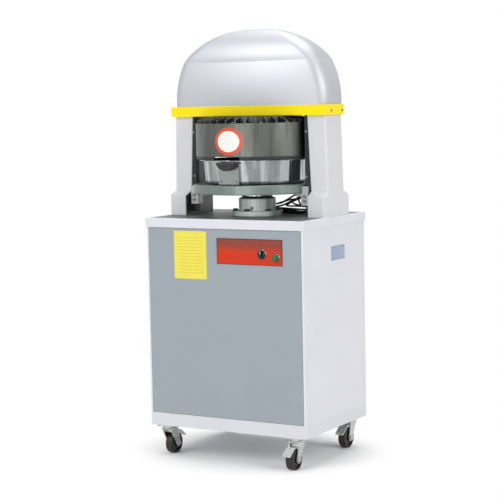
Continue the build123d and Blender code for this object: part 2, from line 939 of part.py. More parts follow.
def pan_grip():
    """Half-round grip at the front of the pan."""
    high = pan_top - pan_rim_thickness - grip_drop
    half = grip_width / 2
    near = press_y - pan_bottom_radius + pan_wall
    edge = [
        Line((-half, high), (half, high)),
        ThreePointArc((half, high), (0, high - grip_height), (-half, high)),
    ]
    grip = extrude(Plane.XZ * make_face(edge), grip_reach - pan_bottom_radius + pan_wall)
    grip = Pos(0, near, 0) * grip
    grip = fillet(grip.edges().group_by(Axis.Y)[0], grip_round)
    return grip - pan_envelope()


def grip_plate(grip):
    """Steel riser plate that carries the grip."""
    high = pan_top - pan_rim_thickness - grip_drop
    plate = block(
        -grip_plate_width / 2, grip_plate_width / 2, press_y - grip_plate_reach,
        press_y - pan_bottom_radius + pan_wall, platen_top + pan_wall, high - grip_height / 2,
    )
    return plate - pan_envelope() - grip


# Power pack
def oil_tank():
    """Oil tank with its lid."""
    low = caster_height + base_floor
    tank = block(tank_x0, tank_x1, tank_y0, tank_y1, low, low + tank_height)
    tank -= block(
        tank_x0 + tank_wall, tank_x1 - tank_wall, tank_y0 + tank_wall, tank_y1 - tank_wall,
        low + tank_wall, low + tank_height - tank_lid,
    )
    return tank - drum_of(pump_radius * 0.6, low + tank_height - tank_lid, low + tank_height, motor_x, motor_y)


def bell_housing():
    """Spacer between the tank lid and the motor, open on two sides."""
    low = tank_top
    bell = ring_of(bell_radius, bell_radius - bell_wall, low, low + bell_height, motor_x, motor_y)
    window = bell_window / 2
    middle = low + bell_height / 2
    return bell - block(
        motor_x - window, motor_x + window, motor_y - bell_radius, motor_y + bell_radius,
        middle - window / 2, middle + window / 2,
    )


def motor():
    """Finned electric motor standing on the bell housing."""
    low = tank_top + bell_height
    body = drum_of(motor_radius, low, low + motor_height, motor_x, motor_y)
    fin = block(
        motor_radius - motor_fin_depth, motor_radius + motor_fin_depth, -motor_fin_width, motor_fin_width,
        low + motor_height * 0.15, low + motor_height * 0.8,
    )
    grooves = [
        Pos(motor_x, motor_y, 0) * Rot(0, 0, turn * 360 / motor_fins) * fin
        for turn in range(motor_fins)
    ]
    shaft = drum_of(shaft_radius, low - bell_height / 2 + coupling_height / 2, low, motor_x, motor_y)
    return body - grooves + shaft


def drive_coupling():
    """Coupling between the motor shaft and the pump shaft."""
    middle = tank_top + bell_height / 2
    return drum_of(
        coupling_radius, middle - coupling_height / 2 + running_fit, middle + coupling_height / 2 - running_fit,
        motor_x, motor_y,
    )


def pump():
    """Gear pump hung under the tank lid, with its shaft up to the coupling."""
    top = tank_top - tank_lid - seat_gap
    body = drum_of(pump_radius, top - pump_height, top, motor_x, motor_y)
    middle = tank_top + bell_height / 2
    return body + drum_of(shaft_radius, top, middle - coupling_height / 2, motor_x, motor_y)


def valve_block():
    """Valve block on the tank lid with a solenoid on each side."""
    low = tank_top
    half_x = valve_width / 2
    half_y = valve_depth / 2
    middle = low + valve_height / 2
    valve = block(valve_x - half_x, valve_x + half_x, valve_y - half_y, valve_y + half_y, low, low + valve_height)
    far = valve_y + half_y
    return valve + bar_along_y(solenoid_radius, far - 1, far + solenoid_length, valve_x, middle)


def tube_along(points, radius, bends):
    """Round tube along straight runs joined by arcs."""
    path = FilletPolyline(*points, radius=bends)
    start = Plane(origin=points[0], z_dir=Vector(*points[1]) - Vector(*points[0]))
    return sweep(start * Circle(radius), path=path)


def ram_hose():
    """Hose from the valve block to the ram barrel."""
    port_z = table_top - table_thickness - barrel_length + ram_port_rise
    start_x = valve_x + valve_width / 4
    start_y = valve_y - valve_depth / 4
    end_x = -barrel_radius - port_height / 2
    points = [
        (start_x, start_y, tank_top + valve_height),
        (start_x, start_y, port_z),
        ((start_x + end_x) / 2, press_y, port_z),
        (end_x, press_y, port_z),
    ]
    return tube_along(points, hose_radius, hose_bend / 2)


def press_hose():
    """Hose from the valve block up through the left column to the press cylinder."""
    port_z = crosshead_top + press_port_rise
    start_x = valve_x - valve_width / 4
    middle = (tank_top + valve_height + table_bottom) / 2
    points = [
        (start_x, valve_y, tank_top + valve_height),
        (start_x, valve_y, middle),
        (-hose_column_x, hose_column_y, middle + hose_bend * 2),
        (-hose_column_x, hose_column_y, crosshead_top + hose_bend),
        (-hose_column_x * 0.72, press_y, port_z),
        (-cylinder_radius - port_height / 2, press_y, port_z),
    ]
    return tube_along(points, hose_radius, hose_bend / 2)


def control_box():
    """Switch box behind the control plate."""
    near = front_face + panel_return + control_box_gap
    box = block(plate_x0, plate_x1, near, near + control_box_depth, plate_z0 - panel_return, table_bottom - frame_tube)
    return box


# Controls
def control_plate():
    """Red plate on the front panel."""
    plate = block(plate_x0, plate_x1, front_face - plate_thickness, front_face, plate_z0, plate_z1)
    return plate - control_holes()


def start_button():
    """Green push button with its stem."""
    near = front_face - plate_thickness - button_gap - button_travel
    cap = bar_along_y(button_radius, near - button_height, near, button_x, button_z)
    cap = fillet(cap.edges().group_by(Axis.Y)[0], button_edge)
    return cap + bar_along_y(button_stem_radius, near, front_face + panel_return - button_travel, button_x, button_z)


def selector_knob():
    """Black selector with a raised grip bar, on its stem."""
    near = front_face - plate_thickness - button_gap
    far = near - selector_height
    knob = bar_along_y(selector_radius, near - selector_height / 2, near, selector_x, selector_z)
    half = selector_grip / 2
    grip = block(
        selector_x - half, selector_x + half, far, near, selector_z - selector_radius, selector_z + selector_radius
    )
    grip &= bar_along_y(selector_radius, far, near, selector_x, selector_z)
    return knob + grip + bar_along_y(
        selector_stem_radius, near, front_face + panel_return, selector_x, selector_z
    )


# Casters, modelled with the kingpin on the axis and the wheel trailing along +X
def caster_plate():
    """Fixed top plate and race."""
    plate_bottom = caster_height - caster_plate_thickness
    plate = Pos(0, 0, plate_bottom) * extrude(
        RectangleRounded(caster_plate_size, caster_plate_size, cover_corner), caster_plate_thickness
    )
    race = drum_of(race_radius, plate_bottom - race_height, plate_bottom)
    return plate + race - drum_of(kingpin_radius + running_fit, plate_bottom - race_height, caster_height)


def caster_fork():
    """Pressed fork with kingpin and two tapering legs, and the axle."""
    crown_top = caster_height - caster_plate_thickness - race_height - race_gap
    crown = drum_of(fork_crown_radius, crown_top - fork_sheet, crown_top)
    kingpin = drum_of(kingpin_radius, crown_top, caster_height - caster_plate_thickness / 2)
    inner = wheel_width / 2 + fork_side_gap
    bridge = block(
        -fork_crown_radius, fork_crown_radius, -inner - fork_sheet, inner + fork_sheet,
        crown_top - fork_sheet, crown_top,
    )
    shoulder = crown_top - fork_sheet / 2
    outline = make_hull(
        [
            *(Pos(wheel_trail, wheel_radius) * Circle(fork_eye_radius)).edges(),
            Line((-fork_crown_radius * 0.8, shoulder), (fork_crown_radius, shoulder)),
        ]
    )
    leg = extrude(Plane.XZ * outline, fork_sheet)
    legs = [Pos(0, -inner, 0) * leg, Pos(0, inner + fork_sheet, 0) * leg]
    fork = crown.fuse(kingpin, bridge, *legs)
    axle_hole = bar_along_y(axle_radius, -inner * 2, inner * 2, wheel_trail, wheel_radius)
    return fork - axle_hole - brake_pin(brake_pin_radius + running_fit)


def caster_axle():
    """Axle bolt with its two heads."""
    side = wheel_width / 2 + fork_side_gap + fork_sheet
    axle = bar_along_y(axle_radius, -side, side, wheel_trail, wheel_radius)
    for end in (-1, 1):
        axle += bar_along_y(
            axle_head_radius, *sorted((end * side, end * (side + axle_head_height))), wheel_trail, wheel_radius
        )
    return axle


def caster_wheel():
    """Wheel with a rounded tread, a recessed web and a hub."""
    half = wheel_width / 2
    tread = wheel_radius - wheel_tread_depth
    wheel = bar_along_y(wheel_radius, -half, half, wheel_trail, wheel_radius)
    wheel = fillet(wheel.edges().filter_by(GeomType.CIRCLE), wheel_edge)
    for end in (-1, 1):
        span = sorted((end * half, end * wheel_web_width / 2))
        recess = bar_along_y(tread, *span, wheel_trail, wheel_radius)
        recess -= bar_along_y(wheel_hub_radius, *span, wheel_trail, wheel_radius)
        wheel -= recess
    return wheel - bar_along_y(axle_radius + running_fit, -half, half, wheel_trail, wheel_radius)


def brake_pin(radius):
    """Pivot of the brake lever across the fork."""
    side = wheel_width / 2 + fork_side_gap + fork_sheet
    return bar_along_y(radius, -side, side, brake_pivot_x, brake_pivot_rise)


def caster_brake():
    """Brake lever over the wheel, with its pivot pin and a pedal at the tail."""
    half = wheel_width / 2 + fork_side_gap - brake_side_gap
    low = wheel_radius * 2 + brake_pad_gap
    knuckle = brake_sheet
    bend = wheel_trail + wheel_radius * 0.56
    tail = wheel_trail + brake_tail
    outline = [
        (brake_pivot_x - knuckle, low),
        (bend, low),
        (tail, low - brake_tail_drop),
        (tail, low - brake_tail_drop + brake_sheet),
        (bend + brake_sheet / 4, low + brake_sheet),
        (brake_pivot_x + knuckle, low + brake_sheet),
        (brake_pivot_x + knuckle, brake_pivot_rise + knuckle),
        (brake_pivot_x - knuckle, brake_pivot_rise + knuckle),
    ]
    lever = extrude(Plane.XZ * make_face(Polyline(*outline, close=True)), half, both=True)
    return lever + brake_pin(brake_pin_radius)


CASTERS = (
    ("front_left", -1, -1, left_heading),
    ("front_right", 1, -1, right_heading),
    ("rear_left", -1, 1, left_heading),
    ("rear_right", 1, 1, right_heading),
)


def place_caster(part, side_x, side_y, heading):
    """Move a caster piece to its corner and turn it to its heading."""
    return Pos(side_x * caster_reach_x, side_y * caster_reach_y, 0) * Rot(0, 0, heading) * part


# Mains lead
def arc_pair(start, start_way, end, end_way):
    """Two tangent arcs from one point and direction to another."""
    span = end - start
    both = start_way + end_way
    lead = span.dot(both)
    bend = 2 * (1 - start_way.dot(end_way))
    reach = (math.sqrt(lead * lead + bend * span.dot(span)) - lead) / bend
    middle = (start + start_way * reach + end - end_way * reach) * 0.5
    way = (end - end_way * reach - start - start_way * reach).normalized()
    return [TangentArc(start, middle, tangent=start_way), TangentArc(middle, end, tangent=way)]


def hank_corners():
    """Ends of the hank's straight runs, in order along the cord."""
    low = table_top + cord_radius + rest_gap
    rear = hank_front + 2 * hank_turn
    lead_y = hank_front - hank_lead_shift
    corners = [(hank_lead_x, lead_y, low), (hank_loops[0][0], lead_y, low)]
    for left, right, rise, over, next_left, front_rise, front_over in hank_loops:
        corners += [(left, rear, low + rise), (right, rear, low + over)]
        corners += [(right, hank_front, low + front_rise), (next_left, hank_front, low + front_over)]
    corners += [(x, hank_front + across, low + rise) for x, across, rise in hank_arch]
    end_x, end_across, end_rise = hank_arch[-1]
    last = hank_front + end_across + 2 * hank_exit_turn
    plug_z = table_top + plug_radius + rest_gap
    corners += [(end_x, last, plug_z), (end_x + hank_end_run, last, plug_z)]
    return [Vector(*corner) for corner in corners]


def half_turn(start, way_in, end, way_out):
    """Arcs of one turn of the hank from run to run, through its outermost point."""
    side = 1 if way_in.X > 0 else -1
    share = hank_right_crest if side > 0 else hank_left_crest
    radius = abs(end.Y - start.Y) / 2
    crest = radius * (way_in.Z - way_out.Z) / 2 * share
    top = (start + end) * 0.5 + Vector(side * radius, 0, crest)
    rise = (end.Z - start.Z) / (math.pi * radius)
    across = Vector(0, 1 if end.Y > start.Y else -1, rise).normalized()
    return arc_pair(start, way_in, top, across) + arc_pair(top, across, end, way_out)


def hank_path():
    """Straight runs and turns of the hank, as edges in order."""
    corners = hank_corners()
    edges = []
    for index in range(0, len(corners), 2):
        start, end = corners[index], corners[index + 1]
        edges.append(Line(start, end))
        if index + 2 >= len(corners):
            continue
        way_in = (end - start).normalized()
        way_out = (corners[index + 3] - corners[index + 2]).normalized()
        bend = arc_pair if way_in.X * way_out.X > 0 else half_turn
        edges += bend(end, way_in, corners[index + 2], way_out)
    return Wire(edges)


def least_gap(path, diameter):
    """Smallest gap between turns, measured on points along the path."""
    count = int(path.length / diameter * 2)
    points = [path.position_at(step / count) for step in range(count + 1)]
    apart = 8
    nearest = min(
        (points[a] - points[b]).length
        for a in range(len(points))
        for b in range(a + apart, len(points))
    )
    return nearest - diameter


def cord_hank():
    """Loops of the mains lead, fanned out above the table."""
    path = hank_path()
    corners = hank_corners()
    start = Plane(origin=corners[0], z_dir=corners[1] - corners[0])
    hank = sweep(start * RegularPolygon(cord_radius, hank_sides), path=path, clean=False)
    ideal = path.length * hank_sides / 2 * cord_radius**2 * math.sin(2 * math.pi / hank_sides)
    print("hank length", round(path.length, 1), "least gap", round(least_gap(path, 2 * cord_radius), 2))
    print("hank volume share", round(hank.volume / ideal, 4))
    return hank


def lead_points():
    """Route of the free stretch from the gland to the hank."""
    low = table_top + cord_radius + rest_gap
    end_y = hank_front - hank_lead_shift
    return [
        (gland_mouth, gland_y, gland_z),
        (gland_mouth - lead_run, gland_y, gland_z),
        (gland_mouth - 2 * lead_run - 1, (gland_y + end_y) / 2, (gland_z + low) / 2 - 0.6),
        (gland_mouth - 3 * lead_run - 1, end_y, low),
        (hank_lead_x, end_y, low),
    ]


def lead_bends(points):
    """Largest arc that each corner's two runs allow."""
    bends = []
    for before, here, after in zip(points, points[1:], points[2:]):
        first = Vector(*here) - Vector(*before)
        second = Vector(*after) - Vector(*here)
        half_angle = math.radians(first.get_angle(second) / 2)
        bends.append(0.45 * min(first.length, second.length) / math.tan(half_angle))
    return bends


def cord_lead():
    """Free stretch of the mains lead between the gland and the hank."""
    points = lead_points()
    bends = lead_bends(points)
    print("lead bend radii", [round(bend, 1) for bend in bends])
    return tube_along(points, cord_radius, bends)


def cord_gland():
    """Cable gland through the inner wall of the right foot."""
    root = foot_inner - seat_gap
    nut_start = foot_inner + cover_wall + seat_gap
    hexagon = Plane.YZ * Pos(gland_y, gland_z) * RegularPolygon(gland_radius, 6)
    collar = Pos(root, 0, 0) * extrude(hexagon, -gland_length * 0.35)
    dome_end = root - gland_length * 0.35
    dome = Pos(dome_end, gland_y, gland_z) * Rot(0, -90, 0) * Cone(
        gland_radius * 0.85, cord_radius + gland_lip, dome_end - gland_mouth, align=(Align.CENTER, Align.CENTER, Align.MIN)
    )
    thread = bar_along_x(gland_thread_radius, root, nut_start + gland_nut_height, gland_y, gland_z)
    nut = Pos(nut_start, 0, 0) * extrude(hexagon, gland_nut_height)
    return collar + dome + thread + nut


def plug():
    """Round moulded plug with two pins and a tapered strain relief."""
    end = hank_corners()[-1]
    root = end.X + plug_relief_length
    face = root + plug_length
    relief = Pos(end.X, end.Y, end.Z) * Rot(0, 90, 0) * Cone(
        plug_relief_tip, plug_relief_root, plug_relief_length, align=(Align.CENTER, Align.CENTER, Align.MIN)
    )
    body = bar_along_x(plug_radius, root, face, end.Y, end.Z)
    body = fillet(body.edges().group_by(Axis.X)[0], plug_radius / 3)
    shape = relief + body
    for side in (-1, 1):
        spot_y = end.Y + side * plug_pin_spacing / 2
        shape += bar_along_x(plug_pin_radius, face, face + plug_pin_length, spot_y, end.Z)
    return shape


def main():
    """Build every node and write it."""
    os.makedirs("parts", exist_ok=True)
    save("base_tray", base_tray())
    save("cabinet_shell", cabinet_shell())
    save("front_panel", front_panel())
    save("inner_frame", inner_frame())
    save("table_tray", table_tray())
    save("table_plate", table_plate())
    cover = column_cover()
    save("columns", cover - gland_hole(), left_of(cover))
    save("tie_bars", tie_bar(), left_of(tie_bar()))
    save("guide_rails", guide_rail(), left_of(guide_rail()))
    save("crosshead", crosshead())
    save("bumper", bumper_bar(), bumper_corner(), left_of(bumper_corner()))
    save("hood", hood())
    save("drum", drum())
    save("drum_cover", drum_cover())
    save("drum_collar", drum_collar())
    save("drum_ribs", *drum_rib_set())
    save("press_cylinder", press_cylinder())
    save("press_rod", press_rod())
    save("press_carrier", press_carrier())
    save("presser_plates", *presser_plates(), *presser_pins())
    save("knife_rings", *knife_rings())
    save("knife_blades", *knife_blades())
    save("knife_spider", knife_spider())
    save("ram_housing", ram_housing())
    save("housing_bolts", *housing_bolt_set())
    save("ram_barrel", ram_barrel())
    save("ram", ram())
    save("platen", platen())
    save("guide_shoes", guide_shoe(), left_of(guide_shoe()))
    save("dough_pan", dough_pan())
    grip = pan_grip()
    save("pan_grip", grip)
    save("grip_plate", grip_plate(grip))
    save("oil_tank", oil_tank())
    save("bell_housing", bell_housing())
    save("motor", motor())
    save("drive_coupling", drive_coupling())
    save("pump", pump())
    save("valve_block", valve_block())
    save("oil_hoses", ram_hose(), press_hose())
    save("control_box", control_box())
    save("control_plate", control_plate())
    save("start_button", start_button())
    save("selector_knob", selector_knob())
    plates = []
    for name, side_x, side_y, heading in CASTERS:
        spot = (side_x, side_y, heading)
        plates.append(place_caster(caster_plate(), *spot))
        save("caster_fork_" + name, place_caster(caster_fork(), *spot), place_caster(caster_axle(), *spot))
        save("caster_wheel_" + name, place_caster(caster_wheel(), *spot))
        save("caster_brake_" + name, place_caster(caster_brake(), *spot))
    save("caster_plates", *plates)
    save("cord_gland", cord_gland())
    save("cord_lead", cord_lead())
    save("cord_hank", cord_hank())
    save("plug", plug())


main()
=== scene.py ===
"""Looks of a hydraulic dough divider: finishes, fittings, mains lead, light and camera."""

import json
import logging
import math
from collections.abc import Callable, Sequence
from dataclasses import dataclass
from enum import Enum
from typing import TypeAlias

import bmesh
import bpy
from mathutils import Matrix, Vector


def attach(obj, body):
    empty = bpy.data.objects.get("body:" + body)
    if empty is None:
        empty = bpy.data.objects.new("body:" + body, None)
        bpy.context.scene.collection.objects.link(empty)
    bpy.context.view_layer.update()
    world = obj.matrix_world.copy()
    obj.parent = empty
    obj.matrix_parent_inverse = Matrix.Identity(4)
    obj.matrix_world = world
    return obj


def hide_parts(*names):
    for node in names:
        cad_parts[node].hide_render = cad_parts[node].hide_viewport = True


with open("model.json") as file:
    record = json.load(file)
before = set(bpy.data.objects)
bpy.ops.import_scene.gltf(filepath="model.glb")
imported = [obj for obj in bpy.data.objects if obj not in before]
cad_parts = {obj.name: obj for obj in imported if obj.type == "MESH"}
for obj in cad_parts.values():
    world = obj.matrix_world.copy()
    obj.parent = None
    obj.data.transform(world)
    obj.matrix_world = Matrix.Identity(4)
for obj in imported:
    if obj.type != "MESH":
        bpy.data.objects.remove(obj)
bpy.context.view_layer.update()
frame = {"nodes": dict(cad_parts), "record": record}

MM = 0.001
PRESS_AXIS = (0.0, 0.010)
AXIS_Y = PRESS_AXIS[1] / MM
MERGE_GAP = 0.02
SHARP_TURN = math.radians(32)
log = logging.getLogger("divider")
Rgb = tuple[int, int, int]
Rgba = tuple[float, float, float, float]
Point = tuple[float, float, float]
Pair = tuple[float, float]
WHITE = (1.0, 1.0, 1.0, 1.0)
FRONT: Point = (0, -1, 0)
BACK: Point = (0, 1, 0)
RIGHT: Point = (1, 0, 0)
UP: Point = (0, 0, 1)
DOWN: Point = (0, 0, -1)
SIDES = (-1, 1)


def linear(colour: Rgb) -> Rgba:
    """Turn a screen colour from 0 to 255 into linear red, green and blue with an alpha of 1."""
    parts = [c / 255 for c in colour]
    return (*(p / 12.92 if p < 0.04045 else ((p + 0.055) / 1.055) ** 2.4 for p in parts), 1.0)


Value: TypeAlias = "Signal | float"


class Signal:
    """A shader socket that can be used in plain arithmetic."""

    def __init__(self, graph: "Graph", socket: bpy.types.NodeSocket) -> None:
        """Keep the socket and the graph that it belongs to."""
        self.graph = graph
        self.socket = socket

    def maths(self, operation: str, first: Value, second: Value = 0.0) -> "Signal":
        """Make one maths node, with Blender's name of the operation."""
        return self.graph.node("ShaderNodeMath", {"operation": operation}, {0: first, 1: second})

    def __add__(self, other: Value) -> "Signal":
        """Sum."""
        return self.maths("ADD", self, other)

    def __sub__(self, other: Value) -> "Signal":
        """Difference."""
        return self.maths("SUBTRACT", self, other)

    def __rsub__(self, other: float) -> "Signal":
        """Difference with the number first."""
        return self.maths("SUBTRACT", other, self)

    def __mul__(self, other: Value) -> "Signal":
        """Product."""
        return self.maths("MULTIPLY", self, other)

    def __truediv__(self, other: Value) -> "Signal":
        """Quotient."""
        return self.maths("DIVIDE", self, other)

    def __rtruediv__(self, other: float) -> "Signal":
        """Quotient with the number first."""
        return self.maths("DIVIDE", other, self)

    def __pow__(self, other: float) -> "Signal":
        """Power."""
        return self.maths("POWER", self, other)

    def __abs__(self) -> "Signal":
        """Size without sign."""
        return self.maths("ABSOLUTE", self)

    __radd__ = __add__
    __rmul__ = __mul__

    def angle(self, x: "Signal") -> "Signal":
        """Angle about the origin of a point with this value as its Y."""
        return self.maths("ARCTAN2", self, x)

    def sine(self) -> "Signal":
        """Sine of an angle in radians."""
        return self.maths("SINE", self)

    def cycle(self) -> "Signal":
        """Part after the decimal point."""
        return self.maths("FRACT", self)

    def most(self, other: Value) -> "Signal":
        """The larger of two values."""
        return self.maths("MAXIMUM", self, other)

    def least(self, other: Value) -> "Signal":
        """The smaller of two values."""
        return self.maths("MINIMUM", self, other)

    def ramp(self, low: float, high: float) -> "Signal":
        """Soft step.

        Args:
            low: Value where the step starts.
            high: Value where it is full; below low, the step falls.

        Returns:
            A signal from 0 to 1.
        """
        settings = {"interpolation_type": "SMOOTHSTEP"}
        if low < high:
            return self.graph.node("ShaderNodeMapRange", settings, {0: self, 1: low, 2: high})
        return self.graph.node("ShaderNodeMapRange", settings, {0: self, 1: high, 2: low, 3: 1.0, 4: 0.0})


class Graph:
    """Node tree of one material or of the world."""

    def __init__(self, tree: bpy.types.NodeTree) -> None:
        """Start from an empty tree."""
        self.tree = tree
        tree.nodes.clear()

    def node(self, kind: str, settings: dict | None = None, inputs: dict | None = None,
             output: int | str = 0) -> Signal:
        """Make any node.

        Args:
            kind: Blender's name of the node type.
            settings: Properties, set before the inputs.
            inputs: Signals or constants by socket name or number.
            output: Socket that the signal comes from.

        Returns:
            The output as a signal.
        """
        made = self.tree.nodes.new(kind)
        for name, value in (settings or {}).items():
            setattr(made, name, value)
        for key, value in (inputs or {}).items():
            if isinstance(value, Signal):
                self.tree.links.new(value.socket, made.inputs[key])
            else:
                made.inputs[key].default_value = value
        return Signal(self, made.outputs[output])

    def place(self, centre: Point = (0, 0, 0), scale: Point = (1, 1, 1)) -> Signal:
        """Position on the object.

        Args:
            centre: Point that becomes the origin, in metres.
            scale: Stretch along each axis.

        Returns:
            A vector signal.
        """
        coordinates = self.node("ShaderNodeTexCoord", output="Object")
        moved = [-c * s for c, s in zip(centre, scale)]
        inputs = {"Vector": coordinates, "Location": moved, "Scale": scale}
        return self.node("ShaderNodeMapping", {}, inputs)

    def parts(self, vector: Signal) -> tuple[Signal, Signal, Signal]:
        """Split a vector into its three parts."""
        first = self.node("ShaderNodeSeparateXYZ", {}, {0: vector})
        outputs = first.socket.node.outputs
        return first, Signal(self, outputs[1]), Signal(self, outputs[2])

    def joined(self, x: Value, y: Value, z: Value) -> Signal:
        """Join three values into a vector."""
        return self.node("ShaderNodeCombineXYZ", {}, {0: x, 1: y, 2: z})

    def noise(self, vector: Signal, scale: float, detail: float = 2.0, roughness: float = 0.5) -> Signal:
        """Smooth noise about 0.5, with so many lumps per metre and finer octaves."""
        inputs = {"Vector": vector, "Scale": scale, "Detail": detail, "Roughness": roughness}
        return self.node("ShaderNodeTexNoise", {}, inputs)

    def cells(self, vector: Signal, scale: float) -> Signal:
        """Flat random value for each cell of a cellular pattern."""
        made = self.node("ShaderNodeTexVoronoi", {}, {"Vector": vector, "Scale": scale}, "Color")
        return self.node("ShaderNodeSeparateColor", {}, {0: made})

    def mix(self, first: Signal | tuple, second: Signal | tuple, factor: Value) -> Signal:
        """Blend two colours by the share of the second."""
        return self.node("ShaderNodeMix", {"data_type": "RGBA"}, {0: factor, 6: first, 7: second}, 2)

    def bump(self, height: Signal, distance: float, strength: float = 1.0) -> Signal:
        """Normal of a relief, from its height and the metres that a height of 1 stands for."""
        inputs = {"Strength": strength, "Distance": distance, "Height": height}
        return self.node("ShaderNodeBump", {}, inputs)

    def outward(self) -> tuple[Signal, Signal, Signal]:
        """Parts of the direction that the surface faces on the object."""
        return self.parts(self.node("ShaderNodeTexCoord", output="Normal"))

    def shown(self) -> Signal:
        """One for the rays that show the background: seen directly, in a gloss or through glass."""
        seen = self.node("ShaderNodeLightPath", output="Is Camera Ray")
        outputs = seen.socket.node.outputs
        for kind in ("Is Glossy Ray", "Is Transmission Ray"):
            seen = seen.most(Signal(self, outputs[kind]))
        return seen

    def surface(self, **inputs: object) -> None:
        """Feed the shader; names use an underscore for a space."""
        named = {key.replace("_", " "): value for key, value in inputs.items()}
        self.end("ShaderNodeOutputMaterial", self.node("ShaderNodeBsdfPrincipled", {}, named))

    def end(self, kind: str, shader: Signal) -> None:
        """Send a shader to an output node of that kind."""
        self.tree.links.new(shader.socket, self.tree.nodes.new(kind).inputs["Surface"])


class Axis(Enum):
    """Direction that a brushed grain runs in, as stretches along X, Y and Z."""

    X = (4.0, 420.0, 420.0)
    Z = (420.0, 420.0, 4.0)


@dataclass(frozen=True)
class Finish:
    """A surface finish, painted once into a material of its name."""

    name: str
    colour: Rgb
    rough: float = 0.4
    metal: float = 0.0
    depth: float = 0.00004
    lift: float = 1.0

    def shade(self, share: float) -> Rgba:
        """The finish's colour, darker or lighter by a share."""
        r, g, b, a = linear(self.colour)
        return (min(1.0, r * share), min(1.0, g * share), min(1.0, b * share), a)

    def paint(self, graph: Graph) -> None:
        """Lay the finish into an empty graph."""
        raise NotImplementedError

    def lay(self, graph: Graph, colour: Signal, rough: Signal, height: Signal, **more: object) -> None:
        """Feed the shader with a colour, a roughness, a relief and plain values."""
        graph.surface(Base_Color=colour, Metallic=self.metal, Roughness=rough,
                      Normal=graph.bump(height, self.depth, self.lift), **more)

    def material(self) -> bpy.types.Material:
        """Return the finish's material, made on first use."""
        made = bpy.data.materials.get(self.name)
        if made is None:
            made = bpy.data.materials.new(self.name)
            made.use_nodes = True
            self.paint(Graph(made.node_tree))
        return made


@dataclass(frozen=True)
class Enamel(Finish):
    """Sprayed paint on sheet metal, with orange peel, faint cloudiness and scuffs."""

    rough: float = 0.34
    depth: float = 0.00005
    wear: float = 0.25
    haze: float = 0.1
    coat: float = 0.25
    coat_rough: float = 0.3
    gloss: float = 0.5
    tint: Rgba = WHITE
    clouds: float = 7.0
    scuffs: float = 55.0
    pores: float = 650.0

    def tone(self, graph: Graph, cloud: Signal) -> Signal:
        """The paint's colour with its faint clouds."""
        return graph.mix(self.shade(0.985), self.shade(1.012), cloud.ramp(0.3, 0.7))

    def relief(self, graph: Graph) -> Signal:
        """Orange peel of the sprayed paint."""
        return graph.noise(graph.place(), self.pores, 2.0)

    def paint(self, graph: Graph) -> None:
        """Lay paint, clouds, scuffs and relief."""
        cloud = graph.noise(graph.place(), self.clouds, 3.0)
        scuff = graph.noise(graph.place(scale=(1.0, 1.0, 0.3)), self.scuffs, 5.0, 0.7).ramp(0.6, 0.78)
        colour = graph.mix(self.tone(graph, cloud), self.shade(0.72), scuff * self.wear)
        rough = self.rough + self.haze * cloud - self.haze / 2 + 0.2 * (scuff * self.wear)
        self.lay(graph, colour, rough, self.relief(graph), Coat_Weight=self.coat,
                 Coat_Roughness=self.coat_rough, Specular_IOR_Level=self.gloss, Specular_Tint=self.tint)


@dataclass(frozen=True)
class HoodPaint(Enamel):
    """Silver paint on a slightly bulged sheet, with a soft line of painted shade along the crease of the
    hood.
    """

    depth: float = 1.0
    wear: float = 0.0
    haze: float = 0.08
    coat: float = 0.0
    gloss: float = 0.2
    tint: Rgba = (0.62, 0.62, 0.64, 1.0)
    clouds: float = 5.0
    flakes: float = 1500.0
    level: float = 1.095
    crease: float = 0.102
    line_under: float = 0.006
    line_peak: float = 0.003
    line_over: float = 0.022
    line_ends: Pair = (0.22, 0.08)
    bulge: Pair = (0.34, 1.2)

    def tone(self, graph: Graph, cloud: Signal) -> Signal:
        """Silver with clouds, fine flakes and a line of painted shade just over the crease, on the front
        and back only.
        """
        x, _, z = graph.parts(graph.place((0.0, 0.0, self.level)))
        _, along, _ = graph.outward()
        # Painted shade: the paint is darkened in a thin line just over the crease, where the bulged front
        # meets the dome.
        peak = self.crease + self.line_peak
        line = z.ramp(self.crease - self.line_under, peak) * z.ramp(self.crease + self.line_over, peak)
        line = line * abs(along).ramp(0.55, 0.85) * abs(x).ramp(*self.line_ends)
        flake = graph.cells(graph.place(), self.flakes)
        colour = graph.mix(self.shade(0.97), self.shade(1.03), cloud * 0.6 + flake * 0.4)
        return graph.mix(colour, self.shade(0.8), line * 0.4)

    def relief(self, graph: Graph) -> Signal:
        """Bulge of the sheet, up to the crease."""
        x, _, z = graph.parts(graph.place((0.0, 0.0, self.level)))
        rise = z.least(self.crease)
        return x * x * -self.bulge[0] - rise * rise * self.bulge[1]


@dataclass(frozen=True)
class ColumnPaint(Enamel):
    """White enamel outside, with painted shade: dark on the faces towards the middle of the machine."""

    wear: float = 0.0
    # Colour of the painted shade on the inner faces.
    inside: Rgb = (46, 60, 56)

    def tone(self, graph: Graph, cloud: Signal) -> Signal:
        """The enamel's colour, with painted shade on the inner faces."""
        across, _, _ = graph.parts(graph.place())
        sideways, _, _ = graph.outward()
        # Painted shade: faces that look towards the middle of the machine take the dark colour.
        inner = (sideways * across * -4.0).ramp(0.55, 0.75)
        return graph.mix(super().tone(graph, cloud), linear(self.inside), inner)


